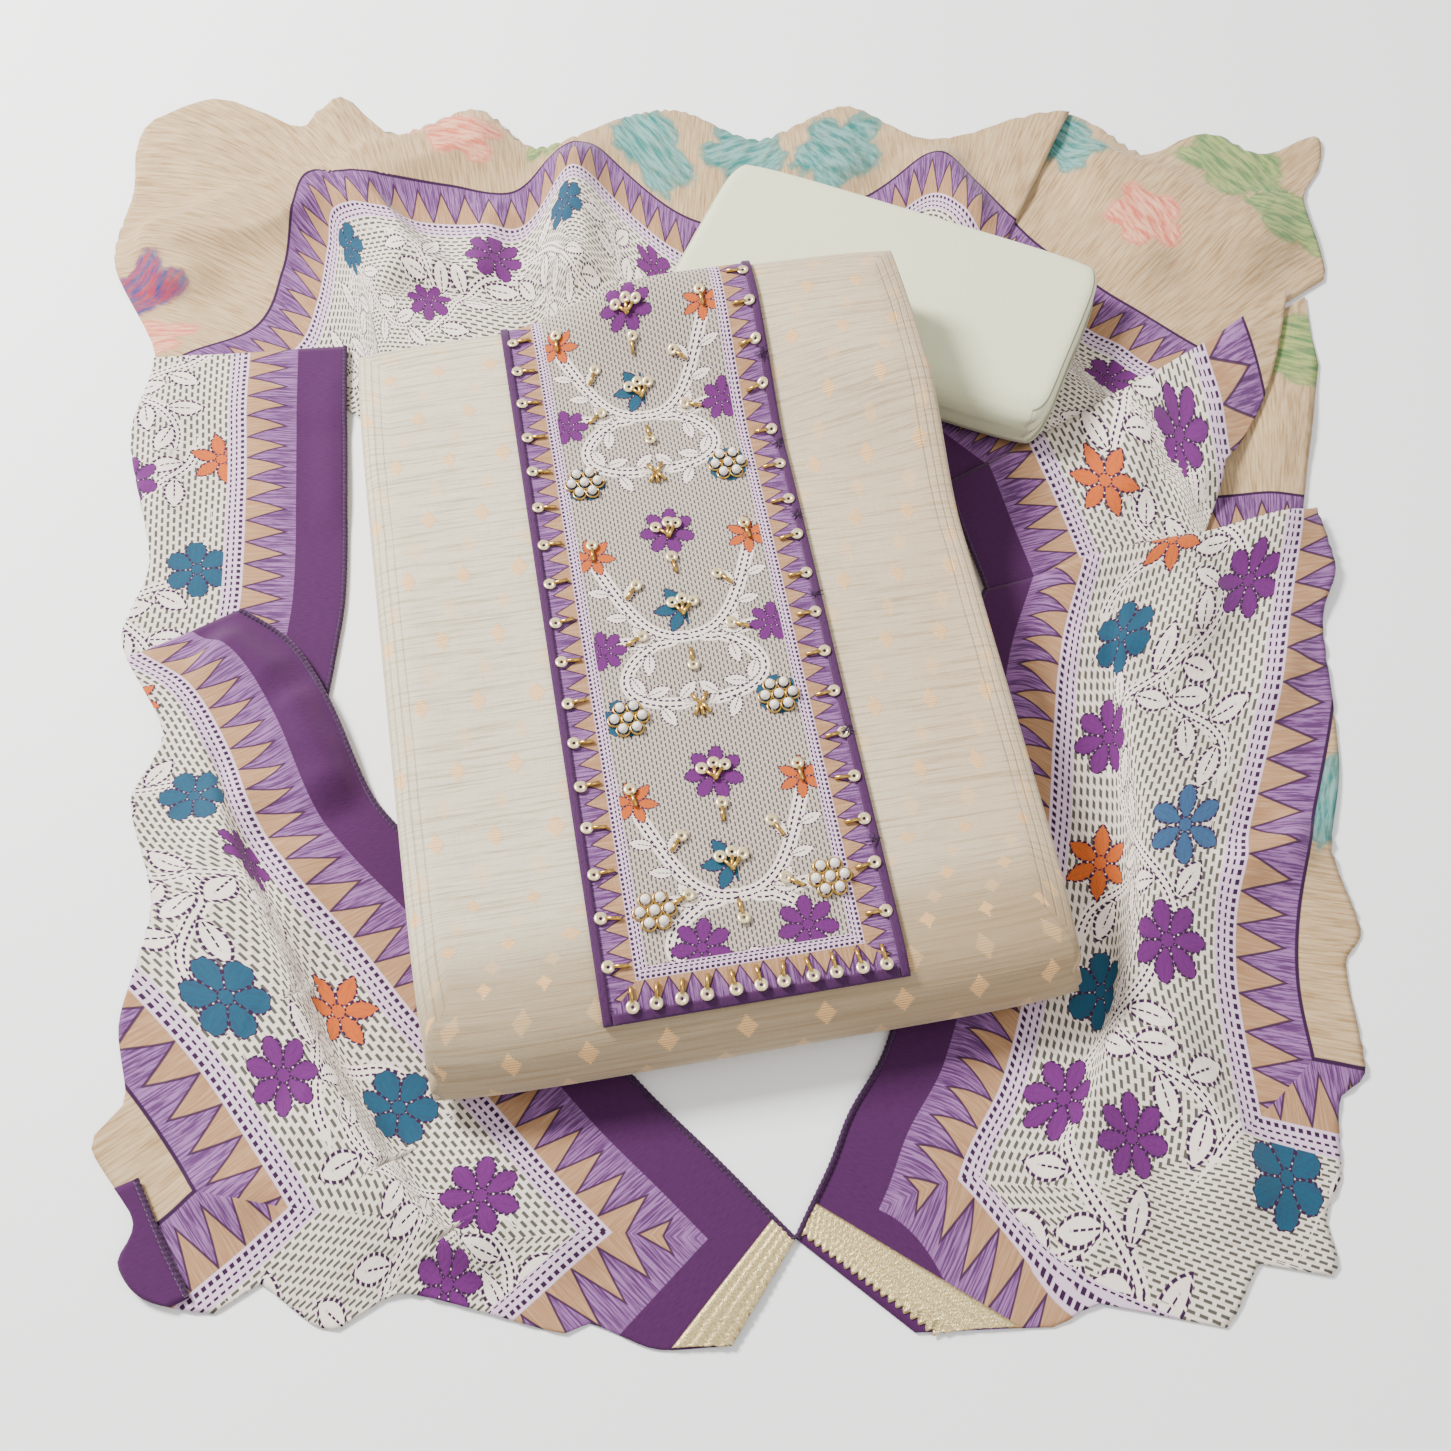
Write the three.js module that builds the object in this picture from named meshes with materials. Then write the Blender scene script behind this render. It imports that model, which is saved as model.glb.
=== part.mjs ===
// A folded salwar kameez suit set laid on a table: the kameez (shirt cloth) folded to a block with its neck panel
// on top, the folded salwar (trouser cloth) behind it, and the printed dupatta (shawl) laid round and under both.
// Millimetres, +Z up, the table at z = 0. X runs across the front of the set and Y away from it.

import * as THREE from "three";
import { mergeVertices } from "three/addons/utils/BufferGeometryUtils.js";

// Driving dimensions.
const CENTRE = { x: 1.85, y: 73.5 }; // middle of the set's outline in the drawing frame used by the tables below
const WALL = 1.2; // thickness of a dupatta wall
const LAY = 0.8; // clear height between two walls that lie on each other
const LAYER = WALL + LAY; // lift of a stretch that lies over another
const SECTION_STEP = 14; // widest spacing of the sections at the outline
const FACET = 26; // spacing of the facets across a section

// The two folded garments: middle, half width, half length, turn in degrees, height of the underside.
const KAMEEZ = { x: -19, y: 30, halfWidth: 149, halfLength: 206, turn: 10, base: 3.4 };
const SALWAR = { x: 87, y: 264.5, halfWidth: 113, halfLength: 62.5, turn: -22.5, base: 3.6 };
const PANEL = { halfWidth: 68, wall: 1.0, binding: 4, bindingWall: 0.7, gap: 0.35 };
const DRAPE = { lift: 27.8, run: 74, margin: 8 }; // how the kameez rises where its corner lies on the salwar

// The dupatta's border, as distances in from its hem: dark band, zigzag, stitched rows, flowered field, rows, zigzag.
const PLAIN_FROM = 209; // where the plain middle starts, at the inner zigzag's dark line

// The outline of what is laid out, clockwise from the back left, one row per crest or hollow of its wavy edge.
const OUTLINE = [
  // back edge
  [-359, 397], [-354, 421], [-314, 443], [-262, 418], [-240, 445], [-202, 410], [-155, 433], [-116, 399], [-65, 425],
  [-28, 431], [21, 406], [74, 436], [125, 407], [210, 429], [252, 393], [294, 412], [326, 393], [361, 410],
  // right edge
  [360, 385], [345, 356], [349, 300], [334, 270], [333, 204], [315, 143], [319, 92], [308, 61], [303, -20],
  [291, -69], [298, -110], [288, -127], [288, -177], [274, -191], [269, -226], [260, -241], [261, -264],
  // front edge
  [241, -275], [229, -261], [214, -284], [205, -288], [160, -278], [140, -287], [121, -288], [52, -291], [-11, -296],
  [-31, -296], [-57, -286], [-69, -290], [-136, -274], [-159, -288], [-174, -286], [-200, -269], [-211, -282],
  [-245, -277], [-259, -262],
  // left edge
  [-255, -244], [-280, -211], [-268, -191], [-277, -154], [-271, -97], [-290, -42], [-279, -6], [-310, 49],
  [-303, 98], [-326, 177], [-322, 237], [-356, 304], [-355, 364],
];

// Each stretch of the dupatta. A row is one section across the cloth: its start point, the direction it runs in
// (degrees, towards the middle of the cloth), its curl (degrees per 100), and the crease that crosses it: how far
// from the hem the crease is, how much cloth it takes up and how high it stands.
// A stretch starts at its hem, or at the dark line of the inner zigzag where start says PLAIN_FROM.
// ridges: x0, y0, x1, y1, half width to the left, half width to the right, height.
const STRETCHES = {
  dupatta_top_left: {
    start: PLAIN_FROM,
    sections: [
      // x, y, direction, curl, crease at, takes, stands
      [-322, 222, 162, 20, 110, 0, 0],
      [-305, 238, 157, 20, 110, 0, 0],
      [-268, 258, 150, 25, 110, 0, 0],
      [-257, 298, 145, 35, 110, 0, 0],
      [-254, 340, 140, 35, 110, 0, 0],
      [-247, 366, 128, 25, 110, 0, 0],
      [-205, 366, 108, 10, 110, 8, 4],
      [-165, 364, 100, 5, 110, 8, 4],
      [-126, 361, 98, 0, 110, 5, 2],
      [-91, 402, 92, 0, 110, 5, 2],
      [-21, 341, 88, 0, 110, 5, 0],
      [30, 335, 92, 0, 110, 5, 0],
      [80, 357, 98, 6, 110, 5, 0],
      [127, 386, 84, 4, 110, 5, 0],
      [172, 338, 66, 0, 110, 5, 0],
    ],
    ridges: [
      [-350, 312, -238, 368, 15, 26, 13],
      [-238, 368, -130, 424, 15, 26, 13],
      [-300, 318, -246, 372, 12, 22, 9],
      [-345, 250, -296, 300, 18, 22, 8],
      [-228, 358, -190, 318, 12, 14, 9],
      [-190, 318, -196, 262, 12, 14, 8],
      [-214, 352, -160, 288, 8, 12, 6],
      [-92, 405, -84, 270, 16, 18, 12],
      [-136, 352, -146, 282, 10, 12, 5],
      [-262, 430, -190, 400, 16, 16, 5],
      [20, 425, 84, 372, 16, 16, 5],
      [126, 400, 150, 330, 12, 18, 9],
    ],
    calm: [[-330, 268, -190, 272]],
    anchor: -20,
    keep: (x, y) => y > heightOn(x, [[-360, 198], [-215, 206], [-200, 188], [-40, 212], [60, 238], [100, 262], [200, 262]]),
    lift: (x, y, along, length) => LAYER * ease((along - length + 42) / 20),
  },
  dupatta_top_right: {
    start: PLAIN_FROM,
    sections: [
      [160, 356, 68, 0, 100, 40, 0],
      [182, 322, 56, 0, 100, 40, 0],
      [216, 287, 47, 0, 100, 40, 3],
      [246, 260, 43, 0, 100, 38, 3],
      [272, 239, 36, 0, 100, 34, 0],
    ],
    ridges: [
      [184, 404, 320, 306, 20, 28, 13],
      [224, 424, 336, 338, 20, 22, 6],
      [222, 366, 250, 292, 16, 18, 6],
    ],
    calm: [[119, 147, 330, 285], [218, 440, 138, 210]],
    anchor: -30,
    keep: () => true,
    lift: () => 0,
  },
  dupatta_left_side: {
    start: 0,
    sections: [
      [-214, 241, 184, 0, 90, 0, 0],
      [-209, 190, 182, 0, 90, 0, 0],
      [-203, 134, 180, 0, 90, 0, 0],
      [-198, 75, 179, 0, 90, 0, 0],
      [-199, 40, 180, 0, 90, 0, 0],
      [-201, 5, 184, 0, 90, 0, 0],
    ],
    ridges: [
      [-318, 212, -300, 104, 14, 14, 5],
      [-262, 228, -240, 120, 16, 16, 3],
      [-214, 220, -206, 120, 9, 12, 3],
    ],
    calm: [[-304, 42, -250, 71]],
    keep: () => true,
    lift: (x, y) => LAYER * ease((y - 176) / 22),
  },
  dupatta_left_end: {
    start: 0,
    sections: [
      [30, -251, 238, 0, 100, 0, 0],
      [21, -242, 231, 0, 100, 0, 0],
      [-5, -216, 222, 0, 100, 0, 0],
      [-34, -188, 222, 0, 98, 10, 3],
      [-66, -153, 223, 0, 94, 28, 9],
      [-100, -117, 220, 0, 84, 36, 11],
      [-128, -85, 214, 0, 72, 36, 13],
      [-155, -60, 204, 0, 62, 28, 13],
      [-173, -39, 200, 0, 60, 12, 8],
      [-198, 11, 203, 0, 60, 0, 4],
      [-222, 46, 206, 0, 60, 0, 3],
      [-250, 66, 208, 0, 60, 0, 0],
    ],
    ridges: [
      [-262, 46, -222, 18, 14, 18, 11],
      [-222, 18, -188, -44, 14, 18, 11],
      [-236, -28, -246, -112, 16, 16, 6],
      [-205, -60, -212, -150, 18, 14, 5],
      [-190, -196, -150, -214, 14, 14, 6],
      [-150, -214, -98, -262, 14, 16, 8],
      [-120, -204, -60, -262, 14, 18, 5],
      [-238, -230, -200, -236, 10, 12, 5],
    ],
    calm: [],
    keep: () => true,
    lift: (x, y) => LAYER * ease((y + 30) / 20),
  },
  dupatta_left_tip: {
    start: 0,
    sections: [
      [-256, -226, 204, 0, 60, 0, 0],
      [-240, -254, 206, 0, 60, 0, 0],
      [-226, -276, 208, 0, 60, 0, 0],
    ],
    ridges: [],
    calm: [],
    keep: () => true,
    lift: () => 1.2 * LAYER,
  },
  dupatta_right_side: {
    start: 0,
    sections: [
      [143, 40, 14, 0, 112, 38, 5],
      [135, 80, 14, 2, 112, 36, 6],
      [126, 115, 16, 4, 112, 24, 5],
      [119, 147, 30, 3, 112, 0, 0],
    ],
    ridges: [
      [232, 206, 212, 130, 16, 16, 7],
      [272, 214, 246, 120, 12, 12, 4],
    ],
    calm: [[134, 82, 317, 140]],
    keep: () => true,
    lift: () => LAYER,
    reach: [112, 119, 150, 246],
  },
  dupatta_right_plain: {
    start: PLAIN_FROM,
    sections: [
      [232, 138, 90, 0, 100, 0, 0],
      [262, 139, 88, 0, 100, 0, 0],
      [288, 141, 84, 0, 100, 0, 0],
      [311, 139, 76, 0, 100, 0, 0],
    ],
    ridges: [[304, 240, 294, 160, 12, 12, 4]],
    calm: [[327, 277, 251, 107]],
    anchor: 20,
    keep: (x, y) => y < heightOn(x, [[130, 133], [272, 237], [352, 295]]) - 1.5 && y > 96,
    lift: () => 0,
  },
  dupatta_right_end: {
    start: 0,
    sections: [
      [30, -251, -38, 0, 85, 0, 0],
      [36, -239, -33, 0, 85, 0, 0],
      [46, -219, -23, 0, 85, 0, 0],
      [55, -197, -18, 0, 85, 0, 0],
      [72, -168, -14, 0, 85, 10, 5],
      [90, -110, -8, 0, 84, 33, 10],
      [101, -60, -4, 0, 82, 32, 12],
      [109, -10, 3, 0, 80, 16, 9],
      [118, 35, 10, 0, 80, 4, 3],
      [134, 77, 16, 0, 80, 0, 0],
    ],
    ridges: [
      [165, 90, 262, 106, 12, 20, 8],
      [262, 106, 312, 128, 12, 20, 6],
      [250, 84, 226, 30, 14, 18, 7],
      [300, 60, 268, 6, 12, 16, 6],
      [236, -82, 286, -58, 8, 16, 9],
      [196, -148, 232, -246, 14, 20, 8],
      [146, -176, 176, -252, 14, 16, 5],
    ],
    calm: [],
    keep: () => true,
    lift: (x, y) => 2 * LAYER * ease((clearOf(KAMEEZ, x, y) + 12) / 11) * ease((sideOf(x, y, [143, 40, 280, 74]) + 24) / 18),
  },
};

// The lace sewn over each end of the dupatta: which stretch, how far along it from its end, how far across.
const LACE = { wall: 1.4, gap: 0.35, step: 6, left: [0.5, 12.5], right: [4.5, 17.5] };

// Shape tools.
const clamp = (t, low = 0, high = 1) => Math.min(high, Math.max(low, t));
function ease(t) {
  const s = clamp(t);
  return s * s * (3 - 2 * s);
}

// A value read off a line of points at x.
function heightOn(x, line) {
  const last = line.length - 1;
  for (let i = 0; i < last; i++) {
    const [x0, y0] = line[i];
    const [x1, y1] = line[i + 1];
    if (x <= x1 || i === last - 1) return y0 + ((y1 - y0) * (x - x0)) / (x1 - x0);
  }
  return 0;
}

// Signed distance from the line through two points, positive on its left.
function sideOf(x, y, [x0, y0, x1, y1]) {
  return ((x1 - x0) * (y - y0) - (y1 - y0) * (x - x0)) / Math.hypot(x1 - x0, y1 - y0);
}

// A smooth curve through the outline's points, closed.
function closedCurve(points, steps, tension) {
  const count = points.length;
  const curve = [];
  for (let i = 0; i < count; i++) {
    const [before, start, end, after] = [-1, 0, 1, 2].map((k) => points[(i + k + count) % count]);
    for (let k = 0; k < steps; k++) {
      const t = k / steps;
      const out = [2 * t ** 3 - 3 * t ** 2 + 1, t ** 3 - 2 * t ** 2 + t, -2 * t ** 3 + 3 * t ** 2, t ** 3 - t ** 2];
      curve.push(
        [0, 1].map(
          (c) =>
            out[0] * start[c] +
            out[1] * tension * (end[c] - before[c]) +
            out[2] * end[c] +
            out[3] * tension * (after[c] - start[c]),
        ),
      );
    }
  }
  return curve;
}

const RIM = closedCurve(OUTLINE, 6, 0.4);

function insideRim(x, y) {
  let inside = false;
  for (let i = 0, j = RIM.length - 1; i < RIM.length; j = i++) {
    const [xi, yi] = RIM[i];
    const [xj, yj] = RIM[j];
    if (yi > y !== yj > y && x < ((xj - xi) * (y - yi)) / (yj - yi) + xi) inside = !inside;
  }
  return inside;
}

// A smooth curve through rows of values set at given distances along.
function between(distances, rows, column, at) {
  const last = distances.length - 1;
  const t = clamp(at, 0, distances[last]);
  let i = 0;
  while (i < last - 1 && distances[i + 1] < t) i++;
  const slope = (k) => {
    const a = Math.max(0, k - 1);
    const b = Math.min(last, k + 1);
    return (rows[b][column] - rows[a][column]) / (distances[b] - distances[a]);
  };
  const run = distances[i + 1] - distances[i];
  const s = (t - distances[i]) / run;
  return (
    (2 * s ** 3 - 3 * s ** 2 + 1) * rows[i][column] +
    (s ** 3 - 2 * s ** 2 + s) * run * slope(i) +
    (-2 * s ** 3 + 3 * s ** 2) * rows[i + 1][column] +
    (s ** 3 - s ** 2) * run * slope(i + 1)
  );
}

// The distance from a folded garment's footprint, negative inside it.
function clearOf(garment, x, y) {
  const turn = THREE.MathUtils.degToRad(garment.turn);
  const dx = x - garment.x;
  const dy = y - garment.y;
  const across = Math.abs(dx * Math.cos(turn) + dy * Math.sin(turn)) - garment.halfWidth;
  const along = Math.abs(-dx * Math.sin(turn) + dy * Math.cos(turn)) - garment.halfLength;
  return Math.hypot(Math.max(across, 0), Math.max(along, 0)) + Math.min(Math.max(across, along), 0);
}

// One ridge's height at a point: steeper on one side, fading at its two ends.
function ridgeHeight([x0, y0, x1, y1, left, right, height], x, y) {
  const length = Math.hypot(x1 - x0, y1 - y0);
  const along = ((x - x0) * (x1 - x0) + (y - y0) * (y1 - y0)) / length;
  const side = sideOf(x, y, [x0, y0, x1, y1]);
  const fade = length * 0.25 + 8;
  const ends = ease((along + fade * 0.4) / fade) * ease((length - along + fade * 0.4) / fade);
  const across = side > 0 ? side / left : -side / right;
  return height * ends * Math.exp(-across * across);
}

// A dupatta stretch as functions of a place in the flat cloth: along its hem, and across from its hem.
function layStretch(stretch) {
  const rows = stretch.sections;
  const distances = [0];
  for (let i = 1; i < rows.length; i++)
    distances.push(distances[i - 1] + Math.hypot(rows[i][0] - rows[i - 1][0], rows[i][1] - rows[i - 1][1]));
  const length = distances[distances.length - 1];
  const section = (along) => {
    const [x, y, direction, curl, creaseAt, takes, stands] = [0, 1, 2, 3, 4, 5, 6].map((c) =>
      between(distances, rows, c, along),
    );
    return { x, y, direction, curl, creaseAt, takes: Math.max(0, takes), stands: Math.max(0, stands) };
  };
  const creaseRun = (s) => 1.5 * s.takes + 6;
  const laid = (s, across) => across - s.takes * ease((across - s.creaseAt) / creaseRun(s));
  const place = (along, run) => {
    const s = section(along);
    const turned = THREE.MathUtils.degToRad(s.direction + (s.curl * run) / 200);
    return [s.x + run * Math.cos(turned), s.y + run * Math.sin(turned)];
  };
  // the distance from the hem in flat cloth of a place run away from the section's start
  const flat = (along, run) => {
    const s = section(along);
    const target = run + laid(s, stretch.start);
    let low = -60;
    let high = 700;
    for (let i = 0; i < 30; i++) {
      const middle = (low + high) / 2;
      if (laid(s, middle) < target) low = middle;
      else high = middle;
    }
    return (low + high) / 2;
  };
  const height = (along, run) => {
    const [x, y] = place(along, run);
    const s = section(along);
    const across = flat(along, run);
    const past = across - s.creaseAt;
    let folds = s.stands * ease(past / creaseRun(s)) * (1 - ease((past - creaseRun(s)) / 60));
    for (const ridge of stretch.ridges) folds += ridgeHeight(ridge, x, y);
    let press = ease((clearOf(KAMEEZ, x, y) - 3) / 26) * ease((clearOf(SALWAR, x, y) - 3) / 22);
    for (const line of stretch.calm) press *= ease((sideOf(x, y, line) - 3) / 24);
    return WALL + stretch.lift(x, y, along, length) + folds * press * stretch.edge(x, y, along, run);
  };
  return { length, place, flat, height };
}

// Folds die down towards the outline, where the cloth is turned under and lies on the table.
function rimCalm(x, y) {
  let nearest = Infinity;
  for (const [rx, ry] of RIM) nearest = Math.min(nearest, (rx - x) ** 2 + (ry - y) ** 2);
  return 0.3 + 0.7 * ease(Math.sqrt(nearest) / 24);
}

// How far a section runs each way from its start before it leaves the outline or what the stretch keeps.
function reachOf(stretch, laidOut, along, sign, most) {
  const from = stretch.anchor ?? 0;
  const fits = (run) => {
    const [x, y] = laidOut.place(along, run);
    return insideRim(x, y) && stretch.keep(x, y);
  };
  const step = 3;
  let run = from;
  while (sign * run < most && fits(run + sign * step)) run += sign * step;
  let low = run;
  let high = run + sign * step;
  for (let i = 0; i < 12; i++) {
    const middle = (low + high) / 2;
    if (fits(middle)) low = middle;
    else high = middle;
  }
  return sign * Math.min(sign * low, most);
}

// A closed wall from a grid of upper points and the same grid of lower points.
function wall(upper, lower) {
  const rows = upper.length;
  const columns = upper[0].length;
  const positions = [...upper, ...lower].flat(2);
  const at = (layer, i, j) => layer * rows * columns + i * columns + j;
  const faces = [];
  const quad = (a, b, c, d) => faces.push(a, b, c, a, c, d);
  for (let i = 0; i < rows - 1; i++)
    for (let j = 0; j < columns - 1; j++) {
      quad(at(0, i, j), at(0, i + 1, j), at(0, i + 1, j + 1), at(0, i, j + 1));
      quad(at(1, i, j), at(1, i, j + 1), at(1, i + 1, j + 1), at(1, i + 1, j));
    }
  for (let i = 0; i < rows - 1; i++) {
    quad(at(0, i, 0), at(1, i, 0), at(1, i + 1, 0), at(0, i + 1, 0));
    quad(at(0, i + 1, columns - 1), at(1, i + 1, columns - 1), at(1, i, columns - 1), at(0, i, columns - 1));
  }
  for (let j = 0; j < columns - 1; j++) {
    quad(at(0, 0, j + 1), at(1, 0, j + 1), at(1, 0, j), at(0, 0, j));
    quad(at(0, rows - 1, j), at(1, rows - 1, j), at(1, rows - 1, j + 1), at(0, rows - 1, j + 1));
  }
  return facingOut(positions, faces);
}

// A geometry whose faces point outwards, whichever way round its grid was walked.
function facingOut(positions, faces) {
  let volume = 0;
  const point = (i) => new THREE.Vector3(positions[3 * i], positions[3 * i + 1], positions[3 * i + 2]);
  for (let i = 0; i < faces.length; i += 3)
    volume += point(faces[i]).dot(point(faces[i + 1]).cross(point(faces[i + 2])));
  if (volume < 0) for (let i = 0; i < faces.length; i += 3) [faces[i], faces[i + 1]] = [faces[i + 1], faces[i]];
  const geometry = new THREE.BufferGeometry();
  geometry.setAttribute("position", new THREE.Float32BufferAttribute(positions, 3));
  geometry.setIndex(faces);
  geometry.computeVertexNormals();
  return geometry;
}

const suit = new THREE.Group();
const garments = new THREE.Group();
garments.position.set(-CENTRE.x, -CENTRE.y, 0);
suit.add(garments);

function addPiece(name, geometry, colour, roughness, metalness = 0) {
  const piece = new THREE.Mesh(geometry, new THREE.MeshStandardMaterial({ color: colour, roughness, metalness }));
  piece.name = name;
  garments.add(piece);
  return piece;
}

// The dupatta's stretches, each a wall on its own sections.
function stretchWall(stretch) {
  const laidOut = layStretch(stretch);
  const limit = (along) => {
    if (!stretch.reach) return 600;
    const rows = stretch.reach.map((value) => [value]);
    const steps = rows.map((_, i) => (laidOut.length * i) / (rows.length - 1));
    return between(steps, rows, 0, along);
  };
  const ends = (along) => [
    stretch.start ? reachOf(stretch, laidOut, along, -1, hemRun(laidOut, along)) : 0,
    reachOf(stretch, laidOut, along, 1, limit(along)),
  ];
  const alongs = sectionsOf(laidOut, ends);
  const [inner, outer] = [0, 1].map((end) => alongs.map((along) => ends(along)[end]));
  const widest = Math.max(...outer.map((value, i) => value - inner[i]));
  const cells = Math.ceil(widest / FACET);
  const upper = alongs.map((along, i) =>
    Array.from({ length: cells + 1 }, (_, j) => {
      const run = inner[i] + ((outer[i] - inner[i]) * j) / cells;
      return [...laidOut.place(along, run), laidOut.height(along, run)];
    }),
  );
  return wall(upper, upper.map((row) => row.map(([x, y, z]) => [x, y, z - WALL])));
}

// Where the sections go: close enough together that both their ends follow the outline.
function sectionsOf(laidOut, ends) {
  const fine = 1.5;
  const tips = (along) => [ends(along)[1], 0].map((run) => laidOut.place(along, run));
  const apart = (a, b) => Math.max(...a.map((tip, i) => Math.hypot(tip[0] - b[i][0], tip[1] - b[i][1]) / (1 + i)));
  const alongs = [0];
  let last = tips(0);
  for (let along = fine; along < laidOut.length - fine; along += fine) {
    if (apart(tips(along + fine), last) < SECTION_STEP) continue;
    alongs.push(along);
    last = tips(along);
  }
  alongs.push(laidOut.length);
  return alongs;
}

// How far back from the inner zigzag's line the hem is on a section.
function hemRun(laidOut, along) {
  let low = 0;
  let high = PLAIN_FROM;
  for (let i = 0; i < 24; i++) {
    const middle = (low + high) / 2;
    if (laidOut.flat(along, -middle) > 0) low = middle;
    else high = middle;
  }
  return low;
}

const STRETCH_COLOUR = { dupatta_left_tip: 0x55255e, dupatta_right_plain: 0xe2d6c4 };
for (const [name, stretch] of Object.entries(STRETCHES)) {
  stretch.edge = rimCalm;
  addPiece(name, stretchWall(stretch), STRETCH_COLOUR[name] ?? 0xd9cfd2, 0.8);
}

// The lace on the two ends, a wall made from its stretch's points and moved out.
function laceWall(stretch, [from, to]) {
  const laidOut = layStretch(stretch);
  const across = [from, (from + to) / 2, to];
  const reach = Math.min(...across.map((along) => reachOf(stretch, laidOut, along, 1, 400))) - 1;
  const count = Math.ceil(reach / (2 * LACE.step));
  const lowered = across.map((along) =>
    Array.from({ length: count + 1 }, (_, j) => {
      const run = 1 + ((reach - 1) * j) / count;
      return [...laidOut.place(along, run), laidOut.height(along, run) + LACE.gap];
    }),
  );
  return wall(lowered.map((row) => row.map(([x, y, z]) => [x, y, z + LACE.wall])), lowered);
}
addPiece("lace_left", laceWall(STRETCHES.dupatta_left_end, LACE.left), 0xd8c48c, 0.4, 0.6);
addPiece("lace_right", laceWall(STRETCHES.dupatta_right_end, LACE.right), 0xd8c48c, 0.4, 0.6);

// A folded garment: a soft block of hidden layers. Its rings go from the underside up; each row is the height, how far
// the layered sides draw in and how far the rolled front draws in.
function foldedBlock(garment, columns, rows, rings, softness, raise, waves) {
  const turn = THREE.MathUtils.degToRad(garment.turn);
  const straight = { x: columns.straight, y: garment.halfLength * 0.6 };
  const drawIn = (value, half, from, amount) =>
    value - Math.sign(value) * amount * clamp((Math.abs(value) - from) / (half - from));
  const point = (ring, x, y) => {
    const [z, side, front] = ring;
    const dx = drawIn(x, garment.halfWidth, straight.x, side);
    const dy = drawIn(y, garment.halfLength, straight.y, y < 0 ? front : side);
    const corner = 1 - softness * (Math.abs(x / garment.halfWidth) * Math.abs(y / garment.halfLength)) ** 6;
    const px = dx * corner;
    const py = dy * corner;
    const wx = garment.x + px * Math.cos(turn) - py * Math.sin(turn);
    const wy = garment.y + px * Math.sin(turn) + py * Math.cos(turn);
    const wave = ring === rings[rings.length - 1] ? waves(px, py) : 0;
    return [wx, wy, garment.base + z + raise(wx, wy) + wave];
  };
  const nx = columns.at.length;
  const ny = rows.length;
  const loop = [];
  for (let i = 0; i < nx; i++) loop.push([i, 0]);
  for (let j = 1; j < ny; j++) loop.push([nx - 1, j]);
  for (let i = nx - 2; i >= 0; i--) loop.push([i, ny - 1]);
  for (let j = ny - 2; j > 0; j--) loop.push([0, j]);
  const positions = [];
  const index = new Map();
  const vertex = (ring, i, j) => {
    const key = `${ring},${i},${j}`;
    if (!index.has(key)) {
      index.set(key, positions.length / 3);
      positions.push(...point(rings[ring], columns.at[i], rows[j]));
    }
    return index.get(key);
  };
  const faces = [];
  const quad = (a, b, c, d) => faces.push(a, b, c, a, c, d);
  const top = rings.length - 1;
  for (let i = 0; i < nx - 1; i++)
    for (let j = 0; j < ny - 1; j++) {
      quad(vertex(top, i, j), vertex(top, i + 1, j), vertex(top, i + 1, j + 1), vertex(top, i, j + 1));
      quad(vertex(0, i, j), vertex(0, i, j + 1), vertex(0, i + 1, j + 1), vertex(0, i + 1, j));
    }
  for (let k = 0; k < top; k++)
    loop.forEach(([i, j], n) => {
      const [ni, nj] = loop[(n + 1) % loop.length];
      quad(vertex(k, i, j), vertex(k, ni, nj), vertex(k + 1, ni, nj), vertex(k + 1, i, j));
    });
  return { geometry: facingOut(positions, faces), vertex, positions };
}

const KAMEEZ_COLUMNS = {
  straight: 80,
  at: [-149, -141, -120, -94, -68, -64, -32, 0, 32, 64, 68, 94, 120, 141, 149],
};
const KAMEEZ_ROWS = [-206, -196, -172, -140, -100, -55, -10, 35, 80, 120, 155, 182, 198, 206];
const KAMEEZ_RINGS = [
  // height, sides draw in, front draws in
  [0, 8, 14],
  [4, 2.5, 5],
  [9, 0, 1],
  [13, 2.5, 0],
  [15, 4, 0],
  [20, 0.5, 1.5],
  [26, 3.5, 5],
  [31, 1, 9],
  [35.5, 2, 15.5],
  [37.2, 3.6, 19.5],
  [39, 8, 26],
  [40, 16, 36],
];
const overSalwar = (x, y) => DRAPE.lift * ease(1 - (clearOf(SALWAR, x, y) - DRAPE.margin) / DRAPE.run);
const kameezWaves = (x, y) => 0.9 * Math.sin(x / 34 + 0.6) * Math.cos(y / 61) + 0.5 * Math.sin(y / 27);
const kameez = foldedBlock(KAMEEZ, KAMEEZ_COLUMNS, KAMEEZ_ROWS, KAMEEZ_RINGS, 0.035, overSalwar, kameezWaves);
addPiece("kameez_fold", kameez.geometry, 0xd6ccb2, 0.75);

const SALWAR_COLUMNS = { straight: 60, at: [-113, -106, -85, -50, -15, 20, 55, 85, 106, 113] };
const SALWAR_ROWS = [-62.5, -54, -36, -12, 14, 38, 55, 62.5];
const SALWAR_RINGS = [
  [0, 5, 6],
  [3, 1, 2],
  [7, 0, 0],
  [9.5, 2.6, 0],
  [14, 0.5, 1],
  [17, 2.6, 2.5],
  [21, 1, 6],
  [24, 4, 11],
  [25.4, 9, 18],
];
const salwarWaves = (x, y) => 0.5 * Math.sin(x / 30) * Math.cos(y / 25);
const salwar = foldedBlock(SALWAR, SALWAR_COLUMNS, SALWAR_ROWS, SALWAR_RINGS, 0.05, () => 0, salwarWaves);
addPiece("salwar_fold", salwar.geometry, 0xe2e6d2, 0.8);

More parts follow.
